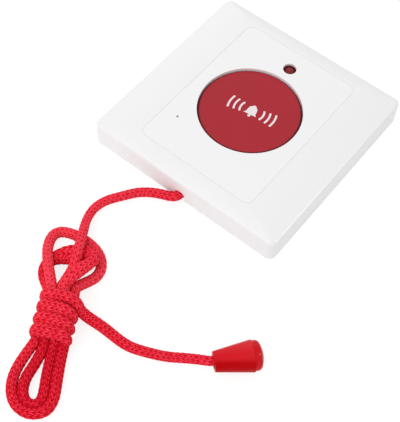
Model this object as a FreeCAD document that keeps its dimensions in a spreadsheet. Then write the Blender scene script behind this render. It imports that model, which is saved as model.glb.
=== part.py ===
import FreeCAD, Part
import Sketcher
import math
import os

# Emergency call button: a square surface unit with a large round push button, an indicator
# light and a pull cord that ends in a tapered handle.
# Millimetres. The back of the unit lies on z = 0 and faces the wall, +Z points out of the face,
# +Y points to the indicator and the cord leaves through the lower wall, on the -Y side.

SIZES = [
    # front frame
    ("plate_side", 86.0),
    ("plate_corner", 3.0),
    ("face_height", 12.1),
    ("crown_drop", 1.3),
    ("rim_round", 1.6),
    ("wall", 2.0),
    ("ledge_width", 2.5),
    ("ledge_thickness", 1.5),
    # face panel
    ("panel_width", 52.0),
    ("panel_length", 70.5),
    ("panel_corner", 3.0),
    ("panel_thickness", 2.0),
    ("panel_gap", 0.2),
    ("pinhole_radius", 0.55),
    # back plate
    ("back_thickness", 1.8),
    ("back_gap", 0.3),
    ("screw_spacing", 60.3),
    ("screw_slot_radius", 2.1),
    ("screw_slot_length", 8.6),
    ("screw_head_radius", 4.2),
    ("screw_head_depth", 0.8),
    # snap hooks of the back plate
    ("hook_width", 8.0),
    ("hook_thickness", 1.4),
    ("hook_height", 6.6),
    ("hook_pitch", 48.0),
    ("nose_depth", 0.8),
    ("nose_bottom", 4.2),
    ("nose_height", 1.6),
    ("nose_gap", 0.2),
    # circuit board
    ("board_side_gap", 4.5),
    ("board_upper_gap", 5.5),
    ("board_lower_gap", 8.5),
    ("board_bottom", 3.0),
    ("board_thickness", 1.6),
    ("board_corner", 3.0),
    ("board_notch_gap", 1.0),
    ("boss_inset", 3.0),
    ("boss_y", 10.0),
    ("boss_radius", 2.5),
    ("pilot_radius", 1.0),
    ("pilot_depth", 3.2),
    ("board_screw_radius", 0.95),
    ("board_screw_length", 4.4),
    ("board_screw_head_radius", 1.9),
    ("board_screw_head_height", 0.9),
    ("board_screw_hole_radius", 1.2),
    # call button
    ("button_radius", 20.35),
    ("button_gap", 0.35),
    ("button_recess", 0.93),
    ("button_edge", 0.5),
    ("button_travel", 1.2),
    ("cap_thickness", 1.5),
    ("skirt_thickness", 1.5),
    ("skirt_depth", 3.7),
    ("flange_overhang", 1.25),
    ("flange_thickness", 1.0),
    ("flange_gap", 0.3),
    ("stem_radius", 2.6),
    ("collar_thickness", 1.0),
    ("collar_depth", 2.2),
    ("collar_gap", 0.35),
    ("rib_thickness", 1.0),
    ("rib_depth", 1.0),
    ("rib_count", 6),
    ("post_circle", 15.0),
    ("post_radius", 1.2),
    ("post_gap", 0.3),
    ("post_reach", 0.6),
    # button spring
    ("spring_radius", 6.0),
    ("spring_wire", 0.5),
    ("spring_turns", 4),
    # call switch
    ("switch_side", 6.2),
    ("switch_height", 3.4),
    ("switch_floor", 0.3),
    ("plunger_radius", 1.75),
    ("plunger_gap", 0.1),
    ("plunger_rise", 1.4),
    ("plunger_floor_gap", 0.3),
    ("pin_radius", 0.4),
    ("pin_gap", 0.1),
    ("pin_reach", 0.9),
    ("switch_pin_spread", 2.25),
    # indicator
    ("led_inset", 8.65),
    ("led_radius", 2.4),
    ("led_gap", 0.3),
    ("led_recess", 0.5),
    ("led_flange_radius", 2.8),
    ("led_flange_height", 1.0),
    ("led_pin_spread", 1.27),
    # buzzer below the pinhole
    ("pinhole_inset_x", 6.5),
    ("pinhole_inset_y", 14.75),
    ("buzzer_radius", 5.6),
    ("buzzer_height", 3.7),
    ("buzzer_edge", 0.4),
    ("sound_hole_radius", 1.0),
    ("sound_hole_depth", 1.2),
    # coin cell and its holder
    ("cell_inset", 12.6),
    ("cell_radius", 10.0),
    ("cell_height", 3.2),
    ("cell_gap", 0.25),
    ("holder_wall", 0.8),
    ("holder_roof", 0.8),
    ("holder_top", 7.6),
    ("holder_flange", 1.0),
    ("holder_flange_thickness", 0.7),
    ("clip_width", 5.0),
    ("clip_thickness", 0.3),
    # other parts on the board
    ("radio_inset_x", 11.0),
    ("radio_inset_y", 10.5),
    ("radio_width", 12.0),
    ("radio_length", 15.0),
    ("radio_base", 0.8),
    ("radio_can_height", 1.8),
    ("radio_can_inset", 0.8),
    ("aerial_inset", 2.3),
    ("aerial_radius", 0.5),
    ("aerial_height", 2.4),
    ("aerial_gap", 2.0),
    ("chip_x", 11.0),
    ("chip_y", -7.0),
    ("chip_side", 5.0),
    ("chip_height", 1.2),
    ("reed_offset", 4.25),
    ("reed_shift", 5.0),
    ("reed_radius", 1.1),
    ("reed_length", 11.0),
    ("reed_height", 1.7),
    ("reed_pin_radius", 0.3),
    ("reed_pin_spread", 6.8),
    # pull cord and the slider that it works
    ("cord_diameter", 3.7),
    ("cord_height", 2.4),
    ("notch_radius", 2.35),
    ("cord_split_gap", 1.5),
    ("pull_travel", 3.0),
    ("slider_length", 11.0),
    ("slider_width", 12.0),
    ("slider_height", 4.7),
    ("slider_gap", 0.15),
    ("slider_end_gap", 0.5),
    ("slider_edge", 0.5),
    ("cord_groove_gap", 0.1),
    ("ferrule_radius", 2.3),
    ("ferrule_length", 5.0),
    ("ferrule_gap", 0.15),
    ("rail_thickness", 1.2),
    ("rail_height", 4.6),
    ("stop_gap", 0.3),
    ("magnet_x", 4.2),
    ("magnet_width", 1.8),
    ("magnet_length", 4.0),
    ("magnet_height", 1.8),
    ("magnet_gap", 0.1),
    ("coil_x", 4.3),
    ("coil_radius", 1.1),
    ("coil_wire", 0.36),
    ("coil_turns", 4),
    ("coil_length", 6.0),
    ("coil_end_gap", 0.05),
    ("spigot_radius", 0.75),
    ("spigot_gap", 1.4),
    # hank of wound cord, in its own axes: its length lies along its own Y
    ("hank_x", 1.0),
    ("hank_y", -111.0),
    ("hank_turn", 28.5),
    ("wrap_width", 14.8),
    ("wrap_height", 11.6),
    ("wrap_length", 19.6),
    ("wrap_corner", 5.2),
    ("loop_neck_radius", 5.6),
    ("loop_neck_y", 7.0),
    ("top_loop_x", -1.1),
    ("top_loop_y", 25.2),
    ("top_loop_radius", 12.6),
    ("top_loop_height", 7.2),
    ("bottom_loop_x", -2.3),
    ("bottom_loop_y", -24.9),
    ("bottom_loop_radius", 9.6),
    ("bottom_loop_height", 5.4),
    ("hank_round", 1.7),
    # pull handle, in its own axes: its length lies along its own X
    ("handle_x", 52.15),
    ("handle_y", -89.05),
    ("handle_heading", 48.5),
    ("handle_length", 13.7),
    ("handle_small_radius", 3.6),
    ("handle_big_radius", 5.7),
    ("handle_wall", 1.0),
    ("handle_mouth", 3.5),
    ("handle_mouth_gap", 0.7),
    ("handle_edge", 0.4),
    ("plug_length", 3.45),
    ("plug_crown", 1.5),
    ("plug_inset", 0.4),
    ("plug_spigot", 3.5),
    ("plug_round", 1.8),
    ("plug_gap", 0.05),
    ("knot_radius", 3.0),
]

# Route of the free cord between the unit and the hank, and between the hank and the handle:
# the corners of its straight runs, which tangent arcs join.
LEAD_ROUTE = [
    (0.0, -39.5, 2.4),
    (0.0, -46.8, 2.4),
    (-8.2, -49.2, 1.9),
    (-14.0, -53.6, 1.85),
    (-18.4, -59.6, 1.85),
    (-20.2, -64.3, 1.85),
    (-20.7, -69.1, 1.85),
    (-20.0, -73.6, 2.4),
    (-18.3, -77.6, 3.9),
    (-16.4, -80.9, 5.2),
]
TAIL_ROUTE = [
    (3.4, -103.0, 5.6),
    (8.2, -102.2, 3.2),
    (14.4, -101.3, 1.85),
    (21.6, -102.0, 1.85),
    (29.8, -100.5, 1.85),
    (36.8, -97.4, 1.85),
    (43.0, -93.9, 2.9),
    (49.7, -90.65, 5.3),
]

ZERO = "0"
doc = FreeCAD.newDocument("EmergencyCallButton")
sheet = doc.addObject("Spreadsheet::Sheet", "Sizes")
for row, (alias, value) in enumerate(SIZES, start=1):
    sheet.set("A%d" % row, alias.replace("_", " "))
    sheet.set("B%d" % row, repr(value))
    sheet.setAlias("B%d" % row, alias)
doc.recompute()
size = dict(SIZES)


def bind(thing, **formulas):
    """Bind properties of an object to formulas of the sheet; two underscores stand for a dot."""
    for name, formula in formulas.items():
        thing.setExpression(name.replace("__", "."), formula)


def origin_feature(body, role):
    for feature in body.Origin.OriginFeatures:
        if feature.Role == role:
            return feature


def new_body(name):
    body = doc.addObject("PartDesign::Body", name)
    body.Label = name
    return body


def new_sketch(body, plane="XY_Plane", at=(ZERO, ZERO, ZERO)):
    """A sketch on a plane of its body, moved along its own axes by three formulas."""
    sketch = body.newObject("Sketcher::SketchObject", "Sketch")
    sketch.AttachmentSupport = [(origin_feature(body, plane), "")]
    sketch.MapMode = "FlatFace"
    for axis, formula in zip("xyz", at):
        if formula != ZERO:
            sketch.setExpression("AttachmentOffset.Base." + axis, formula)
    return sketch


def place_point(sketch, line, end, x, y):
    """Hold one end of a line at the point (x, y), given as two formulas."""
    for kind, axis, formula in (("DistanceX", -2, x), ("DistanceY", -1, y)):
        if formula == ZERO:
            sketch.addConstraint(Sketcher.Constraint("PointOnObject", line, end, axis))
        else:
            held = sketch.addConstraint(Sketcher.Constraint(kind, -1, 1, line, end, 1.0))
            sketch.setExpression("Constraints[%d]" % held, formula)


def draw_outline(sketch, points):
    """A closed outline of straight lines through points given as pairs of formulas."""
    count = len(points)
    around = [2 * math.pi * i / count for i in range(count)]
    start = [FreeCAD.Vector(10 * math.cos(a), 10 * math.sin(a), 0) for a in around]
    lines = []
    for i in range(count):
        lines.append(sketch.addGeometry(Part.LineSegment(start[i], start[(i + 1) % count])))
    for i in range(count):
        sketch.addConstraint(Sketcher.Constraint("Coincident", lines[i - 1], 2, lines[i], 1))
    for line, (x, y) in zip(lines, points):
        place_point(sketch, line, 1, x, y)


def draw_rectangle(sketch, width, length):
    """A rectangle centred on the sketch's origin."""
    x = "(%s) / 2" % width
    y = "(%s) / 2" % length
    draw_outline(sketch, [("-" + x, "-" + y), (x, "-" + y), (x, y), ("-" + x, y)])


def draw_rounded(sketch, width, length, radius):
    """A rectangle with round corners, centred on the sketch's origin."""
    x = "((%s) / 2 - (%s))" % (width, radius)
    y = "((%s) / 2 - (%s))" % (length, radius)
    normal = FreeCAD.Vector(0, 0, 1)
    arcs = []
    lines = []
    corners = [(1, 1), (-1, 1), (-1, -1), (1, -1)]
    for i, (right, up) in enumerate(corners):
        start = i * math.pi / 2
        circle = Part.Circle(FreeCAD.Vector(9 * right, 9 * up, 0), normal, 1.0)
        arcs.append(sketch.addGeometry(Part.ArcOfCircle(circle, start, start + math.pi / 2)))
    for i in range(4):
        start = sketch.getPoint(arcs[i], 2)
        end = sketch.getPoint(arcs[(i + 1) % 4], 1)
        lines.append(sketch.addGeometry(Part.LineSegment(start, end)))
    for i in range(4):
        sketch.addConstraint(Sketcher.Constraint("Tangent", arcs[i], 2, lines[i], 1))
        sketch.addConstraint(Sketcher.Constraint("Tangent", lines[i], 2, arcs[(i + 1) % 4], 1))
    for arc, (right, up) in zip(arcs, corners):
        place_point(sketch, arc, 3, x if right > 0 else "-" + x, y if up > 0 else "-" + y)
        held = sketch.addConstraint(Sketcher.Constraint("Radius", arc, 1.0))
        sketch.setExpression("Constraints[%d]" % held, radius)


def draw_circle(sketch, radius, x=ZERO, y=ZERO):
    normal = FreeCAD.Vector(0, 0, 1)
    circle = sketch.addGeometry(Part.Circle(FreeCAD.Vector(1, 1, 0), normal, 1.0))
    place_point(sketch, circle, 3, x, y)
    held = sketch.addConstraint(Sketcher.Constraint("Radius", circle, 1.0))
    sketch.setExpression("Constraints[%d]" % held, radius)


def draw_slot(sketch, radius, reach):
    """A slot along the sketch's X axis, its round ends centred reach from the origin."""
    half = 4.0
    guess = 1.0
    ends = []
    for turn, x in ((90, -half), (-90, half)):
        start = math.radians(turn)
        circle = Part.Circle(FreeCAD.Vector(x, 0, 0), FreeCAD.Vector(0, 0, 1), guess)
        ends.append(sketch.addGeometry(Part.ArcOfCircle(circle, start, start + math.pi)))
    left, right = ends
    low = sketch.addGeometry(
        Part.LineSegment(FreeCAD.Vector(-half, -guess, 0), FreeCAD.Vector(half, -guess, 0))
    )
    high = sketch.addGeometry(
        Part.LineSegment(FreeCAD.Vector(half, guess, 0), FreeCAD.Vector(-half, guess, 0))
    )
    for first, first_end, second, second_end in (
        (left, 2, low, 1),
        (low, 2, right, 1),
        (right, 2, high, 1),
        (high, 2, left, 1),
    ):
        sketch.addConstraint(
            Sketcher.Constraint("Tangent", first, first_end, second, second_end)
        )
    sketch.addConstraint(Sketcher.Constraint("Horizontal", low))
    place_point(sketch, left, 3, "-(%s)" % reach, ZERO)
    place_point(sketch, right, 3, reach, ZERO)
    held = sketch.addConstraint(Sketcher.Constraint("Radius", left, guess))
    sketch.setExpression("Constraints[%d]" % held, radius)


def draw_arch(sketch, radius, middle, low):
    """A round-topped opening: a half circle centred at the height middle, straight sides below."""
    circle = Part.Circle(FreeCAD.Vector(0, 0, 0), FreeCAD.Vector(0, 0, 1), 2.0)
    arc = sketch.addGeometry(Part.ArcOfCircle(circle, 0, math.pi))
    corners = [(-2.0, 0.0), (-2.0, -3.0), (2.0, -3.0), (2.0, 0.0)]
    points = [FreeCAD.Vector(x, y, 0) for x, y in corners]
    sides = []
    for start, end in zip(points, points[1:]):
        sides.append(sketch.addGeometry(Part.LineSegment(start, end)))
    left, base, right = sides
    sketch.addConstraint(Sketcher.Constraint("Tangent", arc, 2, left, 1))
    sketch.addConstraint(Sketcher.Constraint("Coincident", left, 2, base, 1))
    sketch.addConstraint(Sketcher.Constraint("Coincident", base, 2, right, 1))
    sketch.addConstraint(Sketcher.Constraint("Tangent", right, 2, arc, 1))
    sketch.addConstraint(Sketcher.Constraint("Vertical", left))
    sketch.addConstraint(Sketcher.Constraint("Horizontal", base))
    place_point(sketch, arc, 3, ZERO, middle)
    held = sketch.addConstraint(Sketcher.Constraint("DistanceY", -1, 1, base, 1, -3.0))
    sketch.setExpression("Constraints[%d]" % held, low)
    held = sketch.addConstraint(Sketcher.Constraint("Radius", arc, 2.0))
    sketch.setExpression("Constraints[%d]" % held, radius)


def draw_dome(sketch, tip, points):
    """An outline closed by an arc about the sketch's X axis, from its tip to the first point."""
    guesses = [(9.0, 0.0), (7.0, 4.0), (5.0, 4.5), (4.0, 3.0), (1.0, 2.0), (0.0, 0.0)]
    places = [FreeCAD.Vector(x, y, 0) for x, y in guesses]
    reach = (4.0**2 + 2.0**2) / (2 * 2.0)
    circle = Part.Circle(places[0] - FreeCAD.Vector(reach, 0, 0), FreeCAD.Vector(0, 0, 1), reach)
    arc = sketch.addGeometry(Part.ArcOfCircle(circle, 0, math.asin(4.0 / reach)))
    lines = [
        sketch.addGeometry(Part.LineSegment(start, end))
        for start, end in zip(places[1:], places[2:] + places[:1])
    ]
    sketch.addConstraint(Sketcher.Constraint("Coincident", arc, 2, lines[0], 1))
    for before, after in zip(lines, lines[1:]):
        sketch.addConstraint(Sketcher.Constraint("Coincident", before, 2, after, 1))
    sketch.addConstraint(Sketcher.Constraint("Coincident", lines[-1], 2, arc, 1))
    sketch.addConstraint(Sketcher.Constraint("PointOnObject", arc, 3, -1))
    place_point(sketch, arc, 1, *tip)
    for line, (x, y) in zip(lines, points):
        place_point(sketch, line, 1, x, y)


def draw_egg(sketch, neck_y, neck_radius, x, y, radius, start):
    """Two arcs joined by tangent lines: a neck on the sketch's Y axis and a wide end at (x, y).

    The last argument gives the present values, which the drawing starts from.
    """
    low = FreeCAD.Vector(0, start[0], 0)
    high = FreeCAD.Vector(start[2], start[3], 0)
    on = high - low
    lean = math.atan2(on.y, on.x)
    half = math.acos((start[1] - start[4]) / on.Length)
    right, left = lean - half, lean + half
    normal = FreeCAD.Vector(0, 0, 1)

    def at(centre, reach, angle):
        return centre + FreeCAD.Vector(math.cos(angle), math.sin(angle), 0) * reach

    neck = sketch.addGeometry(
        Part.ArcOfCircle(Part.Circle(low, normal, start[1]), left, right + 2 * math.pi)
    )
    wide = sketch.addGeometry(Part.ArcOfCircle(Part.Circle(high, normal, start[4]), right, left))
    up = sketch.addGeometry(
        Part.LineSegment(at(low, start[1], right), at(high, start[4], right))
    )
    down = sketch.addGeometry(
        Part.LineSegment(at(high, start[4], left), at(low, start[1], left))
    )
    for first, first_end, second, second_end in (
        (neck, 2, up, 1),
        (up, 2, wide, 1),
        (wide, 2, down, 1),
        (down, 2, neck, 1),
    ):
        sketch.addConstraint(
            Sketcher.Constraint("Tangent", first, first_end, second, second_end)
        )
    place_point(sketch, neck, 3, ZERO, neck_y)
    place_point(sketch, wide, 3, x, y)
    for arc, formula, value in ((neck, neck_radius, start[1]), (wide, radius, start[4])):
        held = sketch.addConstraint(Sketcher.Constraint("Radius", arc, value))
        sketch.setExpression("Constraints[%d]" % held, formula)


def pad(body, sketch, length, symmetric=False, down=False):
    feature = body.newObject("PartDesign::Pad", "Pad")
    feature.Profile = sketch
    feature.setExpression("Length", length)
    feature.Reversed = down
    if symmetric:
        feature.SideType = "Symmetric"
    return feature


def cut_checked(body, feature):
    """Recompute, and stop if a cutting feature removed nothing."""
    before = feature.BaseFeature.Shape.Volume
    doc.recompute()
    if feature.Shape.isNull() or feature.Shape.Volume > before - 1e-4:
        raise RuntimeError("%s in %s cuts nothing" % (feature.Name, body.Label))
    return feature


def pocket(body, sketch, length, up=False, symmetric=False):
    """Cut to a depth below the sketch, or above it, or half of it each way."""
    doc.recompute()
    feature = body.newObject("PartDesign::Pocket", "Pocket")
    feature.Profile = sketch
    feature.setExpression("Length", length)
    feature.Reversed = up
    if symmetric:
        feature.SideType = "Symmetric"
    return cut_checked(body, feature)


def revolve(body, sketch, axis="V_Axis"):
    feature = body.newObject("PartDesign::Revolution", "Revolution")
    feature.Profile = sketch
    feature.ReferenceAxis = (sketch, [axis])
    feature.Angle = 360
    return feature


def polar(body, features, count):
    doc.recompute()
    feature = body.newObject("PartDesign::PolarPattern", "PolarPattern")
    feature.Originals = features
    feature.Axis = (origin_feature(body, "Z_Axis"), [""])
    feature.Angle = 360
    feature.setExpression("Occurrences", count)
    body.Tip = feature
    doc.recompute()
    return feature


def edges_where(shape, test):
    return ["Edge%d" % i for i, edge in enumerate(shape.Edges, start=1) if test(edge)]


def dress(body, kind, test, formula):
    """Fillet or chamfer the edges of the body's last feature that pass a test."""
    doc.recompute()
    tip = body.Tip
    names = edges_where(tip.Shape, test)
    if not names:
        raise RuntimeError("no edge to dress in %s" % body.Label)
    feature = body.newObject("PartDesign::" + kind, kind)
    feature.Base = (tip, names)
    feature.setExpression("Radius" if kind == "Fillet" else "Size", formula)
    doc.recompute()
    return feature


def is_upright(edge):
    low, high = edge.BoundBox.ZMin, edge.BoundBox.ZMax
    return edge.BoundBox.XLength < 1e-6 and edge.BoundBox.YLength < 1e-6 and high > low


def is_level(edge, height):
    return abs(edge.BoundBox.ZMin - height) < 1e-4 and abs(edge.BoundBox.ZMax - height) < 1e-4


def circle_on_axis(edge, radius):
    """True for a full circle of this radius about the body's Z axis."""
    curve = edge.Curve
    if not isinstance(curve, Part.Circle):
        return False
    return abs(curve.Radius - radius) < 1e-4 and math.hypot(curve.Center.x, curve.Center.y) < 1e-4


# Heights that many pieces share, written as formulas of the sheet.
LEDGE_TOP = "(Sizes.face_height - Sizes.panel_thickness)"
CEILING = "(Sizes.face_height - Sizes.panel_thickness - Sizes.ledge_thickness)"
BOARD_TOP = "(Sizes.board_bottom + Sizes.board_thickness)"
BUTTON_FACE = "(Sizes.face_height - Sizes.button_recess)"
CAP_UNDERSIDE = "(Sizes.face_height - Sizes.button_recess - Sizes.cap_thickness)"
PLUNGER_TOP = "(Sizes.board_bottom + Sizes.board_thickness + Sizes.switch_height + Sizes.plunger_rise)"
SLIDER_BOTTOM = "(Sizes.back_thickness + Sizes.slider_gap)"
CORD_RADIUS = "(Sizes.cord_diameter / 2)"
INNER_HALF = "(Sizes.plate_side / 2 - Sizes.wall)"
BACK_HALF = "(Sizes.plate_side / 2 - Sizes.wall - Sizes.back_gap)"

RIM_TURN = 78  # degrees that the rim's round turns through, from upright to the face

# Places that follow the frame's walls, the board's edges or the panel's edges.
BOARD_SIDE = "(Sizes.plate_side / 2 - Sizes.wall - Sizes.board_side_gap)"
BOARD_UPPER = "(Sizes.plate_side / 2 - Sizes.wall - Sizes.board_upper_gap)"
BOARD_LOWER = "(Sizes.plate_side / 2 - Sizes.wall - Sizes.board_lower_gap)"
BOSS_X = "(Sizes.plate_side / 2 - Sizes.wall - Sizes.board_side_gap - Sizes.boss_inset)"
SLIDER_FRONT = "(Sizes.plate_side / 2 - Sizes.wall - Sizes.coil_length)"
SLIDER_BACK = "(%s - Sizes.slider_length)" % SLIDER_FRONT
RAIL_BACK = "(%s - Sizes.slider_end_gap)" % SLIDER_BACK
BOARD_NOTCH_HALF = (
    "(Sizes.slider_width / 2 + Sizes.slider_gap + Sizes.rail_thickness + Sizes.board_notch_gap)"
)
LED_Y = "(Sizes.panel_length / 2 - Sizes.led_inset)"
PINHOLE = (
    "-(Sizes.panel_width / 2 - Sizes.pinhole_inset_x)",
    "-(Sizes.panel_length / 2 - Sizes.pinhole_inset_y)",
)
CELL = ("-(%s - Sizes.cell_inset)" % BOARD_SIDE, "(%s - Sizes.cell_inset)" % BOARD_UPPER)
RADIO = ("(%s - Sizes.radio_inset_x)" % BOARD_SIDE, "(%s - Sizes.radio_inset_y)" % BOARD_UPPER)
REED_X = "(%s + Sizes.reed_offset)" % BOARD_NOTCH_HALF
REED_Y = "-(%s - Sizes.slider_length / 2 - Sizes.reed_shift)" % SLIDER_FRONT


def loft(body, sections):
    """A smooth solid through rounded rectangles, each given as width, length, corner and height."""
    sketches = []
    for width, length, corner, height in sections:
        sketch = new_sketch(body, at=(ZERO, ZERO, height))
        draw_rounded(sketch, width, length, corner)
        sketches.append(sketch)
    doc.recompute()
    feature = body.newObject("PartDesign::AdditiveLoft", "Loft")
    feature.Profile = sketches[0]
    feature.Sections = sketches[1:]
    feature.Ruled = False
    doc.recompute()
    return feature


def make_front_frame():
    """The square front shell: crowned rim, recess and ledge for the panel, open back."""
    body = new_body("front_frame")
    side = "Sizes.plate_side"
    rim_base = "(Sizes.face_height - Sizes.crown_drop - Sizes.rim_round)"
    sketch = new_sketch(body)
    draw_rounded(sketch, side, side, "Sizes.plate_corner")
    pad(body, sketch, rim_base)

    # The rim turns over in a round, which stops short of level by the slope of the face.
    rim = []
    for step in range(4):
        angle = math.radians(step * RIM_TURN / 3)
        inset = "(Sizes.rim_round * %.5f)" % (1 - math.cos(angle))
        rise = "(Sizes.rim_round * %.5f)" % math.sin(angle)
        width = "%s - 2 * %s" % (side, inset)
        rim.append((width, width, "Sizes.plate_corner - " + inset, rim_base + " + " + rise))
    loft(body, rim)

    # From the rim the face climbs to the panel's edge, steep at first and level at the end.
    width, length, corner, height = rim[-1]
    face = []
    for step in range(5):
        left = 1 - step / 4
        face.append(
            (
                "Sizes.panel_width + %.4f * (%s - Sizes.panel_width)" % (left, width),
                "Sizes.panel_length + %.4f * (%s - Sizes.panel_length)" % (left, length),
                "Sizes.panel_corner + %.4f * (%s - Sizes.panel_corner)" % (left, corner),
                "Sizes.face_height + %.4f * (%s - Sizes.face_height)" % (left**2, height),
            )
        )
    loft(body, face)

    # Hollow from the back up to the ceiling, then the panel's recess and the window in its ledge.
    sketch = new_sketch(body)
    draw_rectangle(sketch, "2 * " + INNER_HALF, "2 * " + INNER_HALF)
    pocket(body, sketch, CEILING, up=True)
    sketch = new_sketch(body, at=(ZERO, ZERO, LEDGE_TOP))
    draw_rounded(
        sketch,
        "Sizes.panel_width + 2 * Sizes.panel_gap",
        "Sizes.panel_length + 2 * Sizes.panel_gap",
        "Sizes.panel_corner + Sizes.panel_gap",
    )
    pocket(body, sketch, "Sizes.panel_thickness + 1", up=True)
    sketch = new_sketch(body, at=(ZERO, ZERO, LEDGE_TOP))
    draw_rectangle(
        sketch,
        "Sizes.panel_width - 2 * Sizes.ledge_width",
        "Sizes.panel_length - 2 * Sizes.ledge_width",
    )
    pocket(body, sketch, "2 * Sizes.ledge_thickness + 1", symmetric=True)

    # Round-topped notch in the lower wall, open to the back, where the cord leaves.
    notch = new_sketch(body, "XZ_Plane", at=(ZERO, ZERO, INNER_HALF + " - 1"))
    draw_arch(notch, "Sizes.notch_radius", "Sizes.cord_height", "-1")
    pocket(body, notch, "Sizes.wall + 4", up=True)

    # Windows inside the side walls that the hooks of the back plate snap into.
    window_depth = "1 + Sizes.nose_depth - Sizes.back_gap + Sizes.nose_gap"
    window_middle = "Sizes.nose_bottom + Sizes.nose_height / 2"
    for y in ("-Sizes.hook_pitch / 2", "Sizes.hook_pitch / 2"):
        for side, start in ((True, INNER_HALF + " - 1"), (False, "1 - " + INNER_HALF)):
            window = new_sketch(body, "YZ_Plane", at=(y, window_middle, start))
            draw_rectangle(
                window,
                "Sizes.hook_width + 4 * Sizes.nose_gap",
                "Sizes.nose_height + 2 * Sizes.nose_gap",
            )
            pocket(body, window, window_depth, up=side)

    # Bosses that carry the circuit board, with pilot holes for its screws.
    for x in ("-" + BOSS_X, BOSS_X):
        for y in ("-Sizes.boss_y", "Sizes.boss_y"):
            sketch = new_sketch(body, at=(x, y, BOARD_TOP))
            draw_circle(sketch, "Sizes.boss_radius")
            pad(body, sketch, CEILING + " - " + BOARD_TOP + " + 0.2")
            sketch = new_sketch(body, at=(x, y, BOARD_TOP))
            draw_circle(sketch, "Sizes.pilot_radius")
            pocket(body, sketch, "Sizes.pilot_depth", up=True)

    # Two ribs under the ceiling keep the slider from lifting.
    rib_bottom = "(%s + Sizes.slider_height + 2 * Sizes.slider_gap)" % SLIDER_BOTTOM
    rib_length = "(%s - Sizes.panel_length / 2 + Sizes.ledge_width + 0.2)" % INNER_HALF
    for x in ("-Sizes.coil_x", "Sizes.coil_x"):
        rib_y = "-%s + %s / 2 - 0.2" % (INNER_HALF, rib_length)
        sketch = new_sketch(body, at=(x, rib_y, rib_bottom))
        draw_rectangle(sketch, "Sizes.rib_thickness", rib_length)
        pad(body, sketch, CEILING + " - " + rib_bottom + " + 0.2")
    return body


def make_face_panel():
    """The flat insert in the frame, with the button's hole, the indicator's hole and a pinhole."""
    body = new_body("face_panel")
    sketch = new_sketch(body, at=(ZERO, ZERO, LEDGE_TOP))
    draw_rectangle(sketch, "Sizes.panel_width", "Sizes.panel_length")
    pad(body, sketch, "Sizes.panel_thickness")
    dress(body, "Fillet", is_upright, "Sizes.panel_corner")
    holes = [
        ("Sizes.button_radius + Sizes.button_gap", ZERO, ZERO),
        ("Sizes.led_radius + Sizes.led_gap", ZERO, LED_Y),
        ("Sizes.pinhole_radius",) + PINHOLE,
    ]
    for radius, x, y in holes:
        sketch = new_sketch(body, at=(x, y, LEDGE_TOP))
        draw_circle(sketch, radius)
        pocket(body, sketch, "3 * Sizes.panel_thickness", symmetric=True)
    return body


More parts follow.
